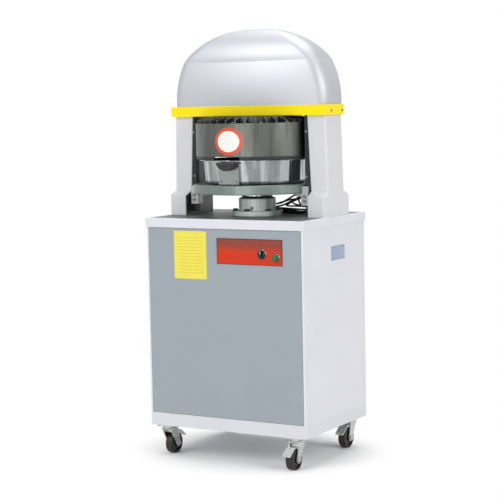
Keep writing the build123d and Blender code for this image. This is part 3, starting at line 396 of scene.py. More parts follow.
@dataclass(frozen=True)
class PrintedPlate(Finish):
    """Enamelled control plate: a dark band fading down into red, with a thin border."""

    upper: Rgb = (130, 68, 54)
    edge: Rgb = (70, 22, 24)
    middle: Pair = (0.090, 0.63725)
    half: Pair = (0.111, 0.03825)
    split: float = 0.008
    fade: float = 0.012
    border: Pair = (-0.0022, -0.0016)
    depth: float = 0.00003
    gloss: float = 0.3
    clouds: float = 16.0
    pores: float = 900.0

    def paint(self, graph: Graph) -> None:
        """Lay red, the dark band and the border."""
        x, _, z = graph.parts(graph.place((self.middle[0], 0.0, self.middle[1])))
        cloud = graph.noise(graph.place(scale=(1.0, 1.0, 2.0)), self.clouds, 3.0, 0.6)
        band = (z + cloud * 0.016 - 0.008).ramp(self.split - self.fade, self.split + self.fade)
        reach = (abs(x) - self.half[0]).most(abs(z) - self.half[1])
        colour = graph.mix(linear(self.colour), linear(self.upper), band * 0.85)
        colour = graph.mix(colour, self.shade(1.25), cloud.ramp(0.55, 0.8) * 0.35)
        colour = graph.mix(colour, linear(self.edge), reach.ramp(*self.border) * 0.8)
        skin = graph.noise(graph.place(), self.pores, 2.0)
        self.lay(graph, colour, self.rough + 0.1 * cloud, skin, Specular_IOR_Level=self.gloss)


@dataclass(frozen=True)
class Label(Finish):
    """Plain label or rating plate with a thin border and, on the label, faint ruled rows."""

    middle: Point = (0.0, 0.0, 0.0)
    half: Pair = (0.05, 0.05)
    sideways: bool = False
    border: float = 0.6
    border_outer: Pair = (-0.0024, -0.0028)
    border_inner: Pair = (-0.0036, -0.0032)
    rows: int = 0
    margin: float = 0.010
    clouds: float = 40.0

    def paint(self, graph: Graph) -> None:
        """Lay the ground, faint handling marks, the border and the rows."""
        x, y, z = graph.parts(graph.place(self.middle))
        along = y if self.sideways else x
        cloud = graph.noise(graph.place(), self.clouds, 4.0, 0.6)
        reach = (abs(along) - self.half[0]).most(abs(z) - self.half[1])
        line = reach.ramp(*self.border_inner) * reach.ramp(*self.border_outer)
        colour = graph.mix(self.shade(0.965), self.shade(1.02), cloud.ramp(0.3, 0.7))
        colour = graph.mix(colour, self.shade(0.35), line * self.border)
        if self.rows:
            row = abs((z * (self.rows / (2 * self.half[1]))).cycle() - 0.5).ramp(0.2, 0.12)
            inside = reach.ramp(-self.margin, -self.margin - 0.001)
            colour = graph.mix(colour, self.shade(0.72), row * inside * 0.5)
        self.lay(graph, colour, self.rough + 0.15 * cloud - 0.07, cloud)


@dataclass(frozen=True)
class BrushedSteel(Finish):
    """Flat steel ground along one direction."""

    rough: float = 0.3
    metal: float = 1.0
    along: Axis = Axis.X
    stain: float = 0.3
    edge: float = 1.0
    clouds: float = 14.0

    def paint(self, graph: Graph) -> None:
        """Lay grain, cloudy stains and fine scratches."""
        grain = graph.noise(graph.place(scale=self.along.value), 1.0, 4.0, 0.7)
        cloud = graph.noise(graph.place(), self.clouds, 4.0, 0.6)
        colour = graph.mix(self.shade(0.82), self.shade(1.12), grain.ramp(0.25, 0.75))
        colour = graph.mix(colour, self.shade(0.6), cloud.ramp(0.52, 0.75) * self.stain)
        rough = self.rough + 0.22 * grain - 0.11 + 0.1 * cloud
        self.lay(graph, colour, rough, grain, Specular_Tint=(self.edge, self.edge, self.edge, 1.0))


@dataclass(frozen=True)
class TurnedSteel(Finish):
    """Steel turned on a lathe about the press axis, with upright streaks of painted shade."""

    rough: float = 0.3
    metal: float = 1.0
    depth: float = 0.00003
    stain: float = 0.3
    centre: Pair = PRESS_AXIS
    tool: float = 0.15
    marks: float = 700.0
    streaks: float = 26.0
    phase: float = 0.0

    def paint(self, graph: Graph) -> None:
        """Lay tool rings, clouds and a few vertical streaks of painted shade."""
        x, y, z = graph.parts(graph.place((*self.centre, 0.0)))
        angle = y.angle(x)
        radius = (x * x + y * y) ** 0.5
        rings = graph.noise(graph.joined(angle * 1.2, radius * self.marks, z * self.marks), 1.0, 3.0, 0.7)
        # Painted shade: darker upright streaks round the wall stand for dark reflections.
        shade_streak = graph.noise(graph.joined(angle * self.streaks, self.phase, z * 3.0), 1.0, 3.0, 0.6)
        colour = graph.mix(self.shade(1 - self.tool), self.shade(1 + self.tool), rings.ramp(0.25, 0.75))
        colour = graph.mix(colour, self.shade(0.5), shade_streak.ramp(0.38, 0.68) * self.stain)
        rough = self.rough + 0.2 * rings - 0.1 + 0.1 * shade_streak
        self.lay(graph, colour, rough, rings)


@dataclass(frozen=True)
class Polished(Finish):
    """Mirror polished steel with the faint waviness and haze of a spun sheet, and upright bands of painted
    reflection.
    """

    rough: float = 0.08
    metal: float = 0.9
    depth: float = 0.006
    lift: float = 0.6
    centre: Pair = PRESS_AXIS
    phase: float = 0.0
    bands: float = 3.6
    waves: float = 6.5
    hazes: float = 45.0
    hairlines: float = 900.0

    def paint(self, graph: Graph) -> None:
        """Lay upright bands of painted reflection, waves, haze and hairline rings."""
        x, y, z = graph.parts(graph.place((*self.centre, 0.0)))
        angle = y.angle(x)
        # Painted reflection: upright dark and bright bands round the axis stand for what the mirror wall
        # reflects.
        around = graph.joined(angle * self.bands, self.phase, z * 1.5)
        bands = graph.noise(around, 1.0, 3.0, 0.6).ramp(0.4, 0.58)
        wave = graph.noise(graph.joined(angle * self.waves, 0.0, z * 2.0), 1.0, 2.0)
        haze = graph.noise(graph.place(), self.hazes, 4.0, 0.65)
        rings = graph.noise(graph.place(scale=(3.0, 3.0, self.hairlines)), 1.0, 2.0)
        colour = graph.mix(self.shade(0.5), self.shade(1.2), bands * 0.85 + haze.ramp(0.3, 0.7) * 0.15)
        rough = self.rough + 0.1 * haze.ramp(0.5, 0.8) + 0.06 * rings
        self.lay(graph, colour, rough, wave)


@dataclass(frozen=True)
class Casting(Finish):
    """Painted or machined casting with a sandy skin."""

    rough: float = 0.5
    depth: float = 0.00025
    sands: float = 380.0
    clouds: float = 22.0

    def paint(self, graph: Graph) -> None:
        """Lay sand texture, pores and clouds."""
        place = graph.place()
        sand = graph.noise(place, self.sands, 4.0, 0.6)
        cloud = graph.noise(place, self.clouds, 4.0, 0.6)
        colour = graph.mix(self.shade(0.86), self.shade(1.1), cloud.ramp(0.3, 0.7))
        colour = graph.mix(colour, self.shade(0.7), sand.ramp(0.6, 0.75) * 0.5)
        self.lay(graph, colour, self.rough + 0.15 * sand - 0.07, sand)


@dataclass(frozen=True)
class Moulded(Finish):
    """Moulded plastic or rubber with a fine matt skin."""

    rough: float = 0.45
    depth: float = 0.00006
    dust: float = 0.12
    dust_colour: Rgb = (150, 146, 138)
    grains: float = 1100.0
    specks: float = 48.0

    def paint(self, graph: Graph) -> None:
        """Lay skin grain and a little dust."""
        place = graph.place()
        grain = graph.noise(place, self.grains, 2.0)
        dust = graph.noise(place, self.specks, 5.0, 0.7).ramp(0.5, 0.8)
        pale = tuple(0.75 * c + 0.25 * d for c, d in zip(linear(self.colour), linear(self.dust_colour)))
        colour = graph.mix(linear(self.colour), pale, dust * self.dust)
        self.lay(graph, colour, self.rough + 0.16 * grain - 0.08 + 0.15 * dust, grain)


@dataclass(frozen=True)
class Zinc(Finish):
    """Zinc plated sheet with soft spangle."""

    rough: float = 0.34
    metal: float = 1.0
    depth: float = 0.00008
    spangles: float = 260.0
    hazes: float = 60.0

    def paint(self, graph: Graph) -> None:
        """Lay spangle, haze and fine grain."""
        place = graph.place()
        spangle = graph.cells(place, self.spangles)
        haze = graph.noise(place, self.hazes, 4.0, 0.6)
        colour = graph.mix(self.shade(0.86), self.shade(1.08), spangle)
        colour = graph.mix(colour, self.shade(0.7), haze.ramp(0.55, 0.8) * 0.5)
        self.lay(graph, colour, self.rough + 0.12 * spangle + 0.1 * haze, haze)


@dataclass(frozen=True)
class Sweep(Finish):
    """Studio paper: matt near the object, and plain white further off where it shows."""

    footprint: Pair = (0.30, 0.25)
    fade: Pair = (0.86, 1.48)
    grains: float = 300.0

    def paint(self, graph: Graph) -> None:
        """Lay paper grain and the run out into white."""
        place = graph.place()
        x, y, _ = graph.parts(place)
        reach = ((x / self.footprint[0]) ** 2.0 + (y / self.footprint[1]) ** 2.0) ** 0.5
        away = reach.ramp(*self.fade) * graph.shown()
        grain = graph.noise(place, self.grains, 2.0)
        colour = graph.mix(self.shade(0.995), self.shade(1.0), grain)
        paper = graph.node("ShaderNodeBsdfPrincipled", {}, {"Base Color": colour, "Roughness": self.rough})
        white = graph.node("ShaderNodeEmission", {}, {"Color": WHITE, "Strength": 1.0})
        run = graph.node("ShaderNodeMixShader", {}, {0: away, 1: paper, 2: white})
        graph.end("ShaderNodeOutputMaterial", run)


class Slot(Enum):
    """Finish of each material slot in the record."""

    white_paint = Enamel("white enamel", (221, 221, 228))
    grey_paint = Enamel("grey enamel", (152, 162, 169), rough=0.38)
    frame_paint = Enamel("dark green enamel", (52, 70, 62), wear=0.4)
    hood_silver = HoodPaint("silver paint", (191, 194, 199), rough=0.45, metal=0.46)
    yellow_paint = Enamel("yellow enamel", (254, 231, 0), rough=0.36, coat=0.0, gloss=0.25)
    table_steel = BrushedSteel("ground table plate", (150, 155, 153), rough=0.36, stain=0.4, metal=0.85,
                               edge=0.42)
    # Painted shade: the drum's streaks, placed by their phase, darken parts of its wall.
    drum_steel = TurnedSteel("turned drum steel", (106, 109, 103), rough=0.3, stain=0.8, tool=0.1,
                             streaks=6.0, phase=4.0)
    polished_steel = Polished("mirror steel", (176, 185, 185), phase=1.7)
    blade_steel = BrushedSteel("blade steel", (118, 120, 122), along=Axis.Z)
    platen_iron = TurnedSteel("machined platen iron", (122, 132, 128), rough=0.3, metal=0.75, tool=0.1)
    # Dark tone of the rails: partly the steel's own colour, partly painted shade of the space between the
    # columns.
    rail_steel = BrushedSteel("drawn rail steel with painted shade", (56, 60, 58), along=Axis.Z, rough=0.32)
    motor_paint = Casting("motor paint", (84, 98, 118))
    tank_paint = Enamel("tank paint", (96, 101, 106), wear=0.4)
    hose_rubber = Moulded("hose rubber", (26, 26, 28), rough=0.55)
    cord_rubber = Moulded("lead sheath", (20, 20, 22), rough=0.42)
    red_plate = PrintedPlate("control plate print", (208, 52, 16), rough=0.3)
    green_button = Moulded("green button", (40, 104, 54), rough=0.25)
    black_plastic = Moulded("black plastic", (20, 23, 28), rough=0.38)
    zinc_steel = Zinc("zinc plate", (196, 200, 197), rough=0.22)
    wheel_rubber = Moulded("red-brown tread", (34, 20, 20), rough=0.5)


@dataclass(frozen=True)
class Panel:
    """One soft lamp of the studio, with places and size in metres."""

    name: str
    place: Point
    aim: Point
    size: Pair
    watts: float

    def hang(self) -> None:
        """Add the lamp to the scene, turned towards its aim."""
        data = bpy.data.lights.new(self.name, "AREA")
        data.shape = "RECTANGLE"
        data.size, data.size_y = self.size
        data.energy = self.watts
        lamp = bpy.data.objects.new(self.name, data)
        lamp.location = self.place
        lamp.rotation_euler = (Vector(self.aim) - Vector(self.place)).to_track_quat("-Z", "Y").to_euler()
        bpy.context.scene.collection.objects.link(lamp)


@dataclass
class Studio:
    """Floor, white surround, lamps and the camera at the photo's place."""

    yaw: float = 30.3
    pitch: float = -5.08
    roll: float = -1.14
    lens: float = 113.81
    sensor: float = 36.0
    shift: float = -0.0169
    stand: Point = (2.4197, -4.1802, 1.0782)
    floor_reach: float = 14.0
    room: float = 0.44
    low_tone: Rgba = (0.58, 0.59, 0.61, 1.0)
    horizon: Pair = (-0.25, 0.7)
    bright_sides: float = 5.0
    bright_start: float = 0.6
    panels: tuple[Panel, ...] = (
        Panel("key", (-1.6, -3.6, 3.4), (0, 0, 0.7), (2.2, 2.2), 80.0),
        Panel("side", (3.4, -0.6, 2.2), (0.2, 0, 0.7), (1.6, 2.4), 48.0),
        Panel("top", (0.0, 0.6, 3.6), (0, 0, 0.6), (2.6, 2.6), 50.0),
        Panel("fill", (0.4, -3.8, 0.8), (0, 0, 0.75), (2.4, 1.0), 18.0))

    def floor(self) -> None:
        """Pale floor that keeps the object's shadow and runs out into white."""
        form = bmesh.new()
        bmesh.ops.create_grid(form, x_segments=4, y_segments=4, size=self.floor_reach)
        mesh = bpy.data.meshes.new("floor")
        form.to_mesh(mesh)
        form.free()
        piece = bpy.data.objects.new("floor", mesh)
        bpy.context.scene.collection.objects.link(piece)
        mesh.materials.append(Sweep("pale floor", (246, 246, 246), rough=0.8).material())

    def surround(self) -> None:
        """White where the background shows, and soft light from brighter sides for all else."""
        world = bpy.data.worlds.new("studio")
        world.use_nodes = True
        bpy.context.scene.world = world
        graph = Graph(world.node_tree)
        x, y, z = graph.parts(graph.node("ShaderNodeTexCoord", output="Generated"))
        height = z.ramp(*self.horizon)
        bright = (y.angle(x) * self.bright_sides + self.bright_start).sine().ramp(-0.5, 0.5)
        tone = graph.mix(self.low_tone, WHITE, (height * 0.75 + bright * 0.45).least(1.0))
        light = graph.node("ShaderNodeBackground", {}, {"Color": tone, "Strength": self.room})
        white = graph.node("ShaderNodeBackground", {}, {"Color": WHITE, "Strength": 1.0})
        both = graph.node("ShaderNodeMixShader", {}, {0: graph.shown(), 1: light, 2: white})
        graph.end("ShaderNodeOutputWorld", both)

    def camera(self) -> None:
        """Camera fitted to the photo's perspective."""
        turn = Matrix()
        for angle, axis in ((self.yaw, "Z"), (90 + self.pitch, "X"), (self.roll, "Z")):
            turn @= Matrix.Rotation(math.radians(angle), 4, axis)
        data = bpy.data.cameras.new("camera")
        data.sensor_width = self.sensor
        data.lens = self.lens
        data.shift_y = self.shift
        camera = bpy.data.objects.new("camera", data)
        camera.matrix_world = Matrix.Translation(self.stand) @ turn
        bpy.context.scene.collection.objects.link(camera)
        bpy.context.scene.camera = camera

    def build(self) -> None:
        """Set the whole stage."""
        self.floor()
        self.surround()
        for panel in self.panels:
            panel.hang()
        self.camera()
        bpy.context.scene.view_settings.view_transform = "Standard"


NUT_STEEL = Zinc("fastener zinc", (136, 136, 132), rough=0.3)
SEAL_RUBBER = Moulded("seal rubber", (24, 25, 26), rough=0.5)
BEZEL_METAL = TurnedSteel("bezel ring", (112, 114, 116), rough=0.2, stain=0.1, centre=(0.0, 0.0))
WHITE_PRINT = Enamel("white print", (238, 237, 232), wear=0.1, coat=0.1)
ORANGE_PRINT = Enamel("orange print", (214, 74, 38), wear=0.15, coat=0.1)
COLUMN_PAINT = ColumnPaint("column enamel with painted shade", (213, 213, 218))
GUIDE_STEEL = TurnedSteel("machined guide steel", (214, 221, 219), rough=0.45, metal=0.65, tool=0.06)
SHOE_STEEL = BrushedSteel("guide shoe steel", (168, 174, 171), rough=0.34, along=Axis.Z, metal=0.8)
BASE_PAINT = Enamel("base enamel", (216, 218, 223))
RIB_STEEL = BrushedSteel("rib steel", (88, 90, 88), rough=0.38, along=Axis.Z)
RISER_STEEL = BrushedSteel("riser plate steel", (150, 156, 153), rough=0.2, along=Axis.Z, metal=0.9,
                           stain=0.15)
WHEEL_CAP = Moulded("wheel cap", (44, 40, 40), rough=0.5)


class Form:
    """A mesh under construction, in millimetres."""

    def __init__(self) -> None:
        """Start empty."""
        self.mesh = bmesh.new()

    def add(self, shape: bmesh.types.BMesh, at: Matrix) -> None:
        """Move a finished shape to its place and join it to the form."""
        bmesh.ops.transform(shape, matrix=at, verts=shape.verts)
        carrier = bpy.data.meshes.new("carrier")
        shape.to_mesh(carrier)
        shape.free()
        self.mesh.from_mesh(carrier)
        bpy.data.meshes.remove(carrier)

    def turned(self, outline: Sequence[Pair], steps: int, at: Matrix = Matrix()) -> None:
        """Spin an outline about Z into a closed shape.

        An outline that ends on the axis gets a flat back, and one that stays off the axis becomes a ring.

        Args:
            outline: Radius and height of each corner, in order.
            steps: Faces around.
            at: Placement of the shape.
        """
        shape = bmesh.new()
        corners = list(outline)
        if corners[-1][0] == 0 and corners[0][0] > 0:
            corners.insert(0, (0.0, corners[0][1]))
        chain = [shape.verts.new((radius, 0, height)) for radius, height in corners]
        lines = [shape.edges.new(pair) for pair in zip(chain, chain[1:])]
        if corners[0][0] > 0:
            lines.append(shape.edges.new((chain[-1], chain[0])))
        bmesh.ops.spin(shape, geom=chain + lines, cent=(0, 0, 0), axis=UP, angle=math.tau,
                       steps=steps, use_merge=True)
        self.add(shape, at)

    def slab(self, size: Point, corner: float, at: Matrix = Matrix(), edge: float = 0.0) -> None:
        """Plate with rounded corners, lying on its origin.

        Args:
            size: Width, depth and thickness.
            corner: Radius of the corners.
            at: Placement of the plate.
            edge: Bevel of the upper rim.
        """
        shape = bmesh.new()
        sheet = bmesh.ops.create_grid(shape, x_segments=1, y_segments=1, size=0.5)["verts"]
        bmesh.ops.scale(shape, vec=(size[0], size[1], 1), verts=sheet)
        bmesh.ops.bevel(shape, geom=sheet, offset=corner, segments=5, profile=0.5,
                        affect="VERTICES", material=-1)
        top = bmesh.ops.extrude_face_region(shape, geom=shape.faces[:])["geom"]
        raised = [p for p in top if isinstance(p, bmesh.types.BMVert)]
        bmesh.ops.translate(shape, vec=(0, 0, size[2]), verts=raised)
        if edge:
            rim = [p for p in top if isinstance(p, bmesh.types.BMEdge)]
            bmesh.ops.bevel(shape, geom=rim, offset=edge, segments=2, profile=0.5,
                            affect="EDGES", material=-1)
        self.add(shape, at)

    def screw(self, radius: float, height: float, at: Matrix) -> None:
        """Round head of a radius and a height, with a socket, along the Z axis of its placement."""
        sink, rim = height * 0.45, radius * 0.12
        self.turned([(0.0, sink), (radius * 0.5, sink), (radius * 0.55, height), (radius - rim, height),
                     (radius, height - rim), (radius, -0.4), (0.0, -0.4)], 18, at)

    def hexagon(self, radius: float, height: float, at: Matrix) -> None:
        """Hexagon head with a washer under it.

        Args:
            radius: Radius to the corners.
            height: Height of the head.
            at: Placement, with the head along Z.
        """
        shape = bmesh.new()
        bmesh.ops.create_cone(shape, cap_ends=True, segments=6, radius1=radius, radius2=radius,
                              depth=height, matrix=Matrix.Translation((0, 0, height / 2)))
        rim = [e for e in shape.edges if all(p.co.z > height * 0.9 for p in e.verts)]
        bmesh.ops.bevel(shape, geom=rim, offset=radius * 0.12, segments=2, profile=0.5,
                        affect="EDGES", material=-1)
        self.add(shape, at)
        self.turned([(radius * 1.25, -0.2), (radius * 1.25, 0.9), (0.0, 0.9)], 18, at)

    def wrap(self, radius: float, angle: float, height: float, stretch: float) -> None:
        """Lay the flat shape round the drum.

        Args:
            radius: Radius of the drum.
            angle: Turn from the front, in radians.
            height: Level of the shape's middle.
            stretch: Share by which the shape gets wider.
        """
        for vert in self.mesh.verts:
            turn = angle + stretch * vert.co.x / radius
            reach = radius + vert.co.z
            vert.co = (reach * math.sin(turn), AXIS_Y - reach * math.cos(turn), height + vert.co.y)

    def piece(self, name: str, finish: Finish, body: str, slot: str) -> bpy.types.Object:
        """Turn the form into a finished object.

        Args:
            name: Name of the piece.
            finish: Its finish.
            body: Body that carries it.
            slot: Material slot of the record; not used.

        Returns:
            The object, at the origin and unscaled.
        """
        bmesh.ops.remove_doubles(self.mesh, verts=self.mesh.verts, dist=MERGE_GAP)
        bmesh.ops.recalc_face_normals(self.mesh, faces=self.mesh.faces)
        bmesh.ops.scale(self.mesh, vec=(MM, MM, MM), verts=self.mesh.verts)
        mesh = bpy.data.meshes.new(name)
        self.mesh.to_mesh(mesh)
        self.mesh.free()
        mesh.shade_smooth()
        mesh.set_sharp_from_angle(angle=SHARP_TURN)
        mesh.materials.append(finish.material())
        made = bpy.data.objects.new(name, mesh)
        bpy.context.scene.collection.objects.link(made)
        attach(made, body)
        log.info("%s: %d faces", name, len(mesh.polygons))
        return made


def facing(place: Point, way: Point) -> Matrix:
    """Placement at a point in millimetres, with its Z axis pointing a given way."""
    return Matrix.Translation(place) @ Vector(way).to_track_quat("Z", "Y").to_matrix().to_4x4()


def fasten(name: str, body: str, make: Callable[..., None], sizes: Sequence,
           spots: Sequence[tuple[Point, Point]]) -> None:
    """Set a group of like fasteners as one piece.

    Args:
        name: Name of the piece.
        body: Body that carries it.
        make: Method of Form that adds one fastener.
        sizes: What the method takes before the placement.
        spots: Place of each fastener and the way that its head points.
    """
    form = Form()
    for place, way in spots:
        make(form, *sizes, facing(place, way))
    form.piece(name, NUT_STEEL, body, "zinc_steel")


@dataclass
class Head:
    """Fittings of the hood, the band and the drum."""

    band_side: float = 271.0
    band_level: float = 1046.0
    band_rows: Pair = (-12.0, 57.0)
    band_head: Pair = (3.4, 2.2)
    rail_front: float = -33.0
    rail_middle: float = 196.5
    rail_levels: Pair = (850.0, 985.0)
    rail_head: Pair = (3.6, 3.0)
    drum_radius: float = 184.0
    roof_level: float = 1013.0
    roof_circle: float = 164.0
    roof_bolt_count: int = 12
    roof_start: float = 5.0
    roof_head: Pair = (5.0, 4.0)
    badge_radius: float = 41.0
    badge_face: float = 0.76
    badge_offset: float = 10.0
    badge_stretch: float = 1.16
    badge_level: float = 960.0
    badge_depths: Pair = (-0.1, 0.25)
    badge_steps: int = 64
    lip_middle: float = 909.8
    lip_size: Pair = (5.3, 9.4)
    lip_inset: float = 1.0
    lip_gap: float = 14.0
    lip_steps: int = 83

    def band_screws(self) -> None:
        """Screws through the sides of the yellow band."""
        fasten("band_screws", "frame", Form.screw, self.band_head,
               [((side * self.band_side, row, self.band_level), (side, 0, 0))
                for side in SIDES for row in self.band_rows])

    def rail_screws(self) -> None:
        """Screws through the guide rails."""
        fasten("rail_screws", "frame", Form.screw, self.rail_head,
               [((side * self.rail_middle, self.rail_front, level), FRONT)
                for side in SIDES for level in self.rail_levels])

    def roof_bolts(self) -> None:
        """Bolts that hold the drum's roof, between its ribs."""
        count, reach = self.roof_bolt_count, self.roof_circle
        turns = [math.radians(step * 360 / count + self.roof_start) for step in range(count)]
        fasten("roof_bolts", "frame", Form.hexagon, self.roof_head,
               [((reach * math.cos(turn), AXIS_Y + reach * math.sin(turn), self.roof_level), UP)
                for turn in turns])

    def badge(self) -> None:
        """Round sticker on the drum: an orange ring about a blank white face."""
        back, front = self.badge_depths
        outer, inner = self.badge_radius, self.badge_radius * self.badge_face
        hoops = [inner * k / 4 for k in range(5)]
        ring = [(inner, back), (inner, front), (inner + 4, front), (outer - 0.3, front), (outer, back)]
        face = [(r, front) for r in hoops] + [(r, back) for r in reversed(hoops)]
        for name, outline, finish, slot in (("badge_ring", ring, ORANGE_PRINT, "red_plate"),
                                            ("badge_face", face, WHITE_PRINT, "white_paint")):
            form = Form()
            form.turned(outline, self.badge_steps)
            form.wrap(self.drum_radius, self.badge_offset / self.drum_radius, self.badge_level,
                      self.badge_stretch)
            form.piece(name, finish, "frame", slot)

    def lip(self) -> None:
        """Rubber lip under the drum's edge, left open at the front for the pan's grip."""
        wide, high = self.lip_size
        middle = (self.drum_radius - self.lip_inset - wide / 2, 0, self.lip_middle)
        upright = Matrix.Rotation(math.pi / 2, 4, "X") @ Matrix.Diagonal((wide, high, 1, 1))
        first = Matrix.Rotation(math.radians(self.lip_gap - 90), 4, "Z")
        shape = bmesh.new()
        bmesh.ops.create_grid(shape, x_segments=1, y_segments=3, size=0.5,
                              matrix=first @ Matrix.Translation(middle) @ upright)
        bmesh.ops.spin(shape, geom=shape.verts[:] + shape.edges[:] + shape.faces[:], cent=(0, 0, 0),
                       axis=UP, angle=math.radians(360 - 2 * self.lip_gap), steps=self.lip_steps)
        form = Form()
        form.add(shape, Matrix.Translation((0, AXIS_Y, 0)))
        form.piece("drum_lip", SEAL_RUBBER, "frame", "hose_rubber")

    def build(self) -> None:
        """Fit everything about the head."""
        self.lip()
        self.band_screws()
        self.rail_screws()
        self.roof_bolts()
        self.badge()


@dataclass
class Ram:
    """Fittings of the ram, its guide and the pan."""

    housing_top: float = 784.0
    ram_radius: float = 40.0
    wiper_gap: float = 0.4
    nipple_turn: float = -78.0
    nipple_reach: float = 56.2
    nipple_level: float = 754.0
    nipple_head: Pair = (4.6, 2.6)
    shoe_front: float = -43.5
    shoe_middle: float = 193.5
    shoe_levels: Pair = (778.0, 792.0)
    shoe_head: Pair = (4.4, 3.6)
    plate_front: float = -157.0
    rivet_reach: float = 26.0
    rivet_level: float = 842.0

    def wiper(self) -> None:
        """Rubber wiper on top of the guide, round the ram."""
        form = Form()
        gap = self.ram_radius + self.wiper_gap
        outline = [(3.0, 0.0), (0.0, 2.0), (0.4, 5.0), (4.0, 5.0), (7.0, 3.0), (8.5, 0.0)]
        form.turned([(gap + out, up) for out, up in outline], 64,
                    Matrix.Translation((0, AXIS_Y, self.housing_top)))
        form.piece("ram_wiper", SEAL_RUBBER, "frame", "hose_rubber")

    def nipple(self) -> None:
        """Grease nipple low on the front of the guide."""
        form = Form()
        turn = math.radians(self.nipple_turn)
        way = (math.cos(turn), math.sin(turn), 0.0)
        spot = (self.nipple_reach * way[0], AXIS_Y + self.nipple_reach * way[1], self.nipple_level)
        form.hexagon(*self.nipple_head, facing(spot, way))
        form.turned([(3.0, 2.6), (2.4, 4.0), (2.4, 5.6), (3.1, 6.6), (2.6, 8.2), (1.0, 8.6), (0.0, 8.6)],
                    20, facing(spot, way))
        form.piece("grease_nipple", NUT_STEEL, "frame", "zinc_steel")

    def shoe_screws(self) -> None:
        """Two screws in the front of each guide shoe."""
        fasten("shoe_screws", "ram", Form.screw, self.shoe_head,
               [((side * self.shoe_middle, self.shoe_front, level), FRONT)
                for side in SIDES for level in self.shoe_levels])

    def grip_rivets(self) -> None:
        """Rivets that hold the grip's riser plate to the pan."""
        outline = [(4.0, -0.3), (3.8, 0.8), (2.8, 1.8), (1.2, 2.3), (0.0, 2.4)]
        fasten("grip_rivets", "pan", Form.turned, (outline, 20),
               [((side * self.rivet_reach, self.plate_front, self.rivet_level), FRONT) for side in SIDES])

    def build(self) -> None:
        """Fit everything about the ram and the pan."""
        self.wiper()
        self.nipple()
        self.shoe_screws()
        self.grip_rivets()


@dataclass
class Cabinet:
    """Plates and screws of the cabinet."""

    front: float = -199.0
    side: float = 270.0
    back: float = 199.0
    label_middle: Pair = (-115.0, 622.0)
    label_size: Point = (114.0, 144.0, 0.4)
    label_corner: float = 2.0
    rating_middle: Pair = (18.5, 622.0)
    rating_size: Point = (87.0, 43.0, 0.6)
    rating_corner: float = 2.5
    rating_edge: float = 0.2
    rivet_inset: float = 5.0
    screw_reach: float = 252.0
    screw_levels: tuple[float, ...] = (160.0, 330.0, 500.0, 670.0)
    screw_head: Pair = (4.0, 2.2)

    def label(self) -> None:
        """Plain yellow label on the front panel."""
        x, z = self.label_middle
        wide, high, _ = self.label_size
        form = Form()
        form.slab(self.label_size, self.label_corner, facing((x, self.front, z), FRONT))
        finish = Label("yellow label", (238, 224, 80), rough=0.45, middle=(x * MM, self.front * MM, z * MM),
                       half=(wide / 2 * MM, high / 2 * MM), border=0.3, rows=15)
        form.piece("front_label", finish, "frame", "yellow_paint")

    def rating(self) -> None:
        """Blank rating plate on the right side, with its rivets."""
        y, z = self.rating_middle
        wide, high, thick = self.rating_size
        form = Form()
        form.slab(self.rating_size, self.rating_corner, facing((self.side, y, z), RIGHT), self.rating_edge)
        finish = Label("rating plate", (152, 168, 191), rough=0.35, middle=(self.side * MM, y * MM, z * MM),
                       half=(wide / 2 * MM, high / 2 * MM), sideways=True, border=0.5)
        form.piece("rating_plate", finish, "frame", "grey_paint")
        across, rise = wide / 2 - self.rivet_inset, high / 2 - self.rivet_inset
        outline = [(1.9, -0.2), (1.8, 0.4), (1.2, 0.9), (0.0, 1.1)]
        fasten("rating_rivets", "frame", Form.turned, (outline, 16),
               [((self.side + thick, y + right * across, z + up * rise), RIGHT)
                for right in SIDES for up in SIDES])

    def back_screws(self) -> None:
        """Screws down both edges of the back."""
        fasten("back_screws", "frame", Form.screw, self.screw_head,
               [((side * self.screw_reach, self.back, level), BACK)
                for side in SIDES for level in self.screw_levels])

    def build(self) -> None:
        """Fit the plates and screws."""
        self.label()
        self.rating()
        self.back_screws()


@dataclass
class Controls:
    """Rings and marks about the button and the selector."""

    plate_front: float = -200.5
    button: Pair = (180.0, 623.0)
    button_hole: float = 9.9
    selector: Pair = (133.0, 631.5)
    selector_hole: float = 12.4
    mark_size: Point = (1.6, 8.0, 0.3)
    mark_corner: float = 0.6
    mark_front: float = 11.3
    mark_rise: float = 6.0

    def bezels(self) -> None:
        """Metal rings round the button and the selector."""
        form = Form()
        outline = [(0.0, -0.2), (0.0, 2.2), (0.8, 2.8), (2.2, 2.4), (3.4, 0.8), (3.4, -0.2)]
        for (x, z), hole in ((self.button, self.button_hole), (self.selector, self.selector_hole)):
            form.turned([(hole + out, up) for out, up in outline], 48,
                        facing((x, self.plate_front, z), FRONT))
        form.piece("control_bezels", BEZEL_METAL, "frame", "zinc_steel")

    def mark(self) -> None:
        """White line on the selector's grip."""
        x, z = self.selector
        form = Form()
        form.slab(self.mark_size, self.mark_corner,
                  facing((x, self.plate_front - self.mark_front, z + self.mark_rise), FRONT))
        form.piece("selector_mark", WHITE_PRINT, "selector", "white_paint")

    def build(self) -> None:
        """Fit rings and mark."""
        self.bezels()
        self.mark()


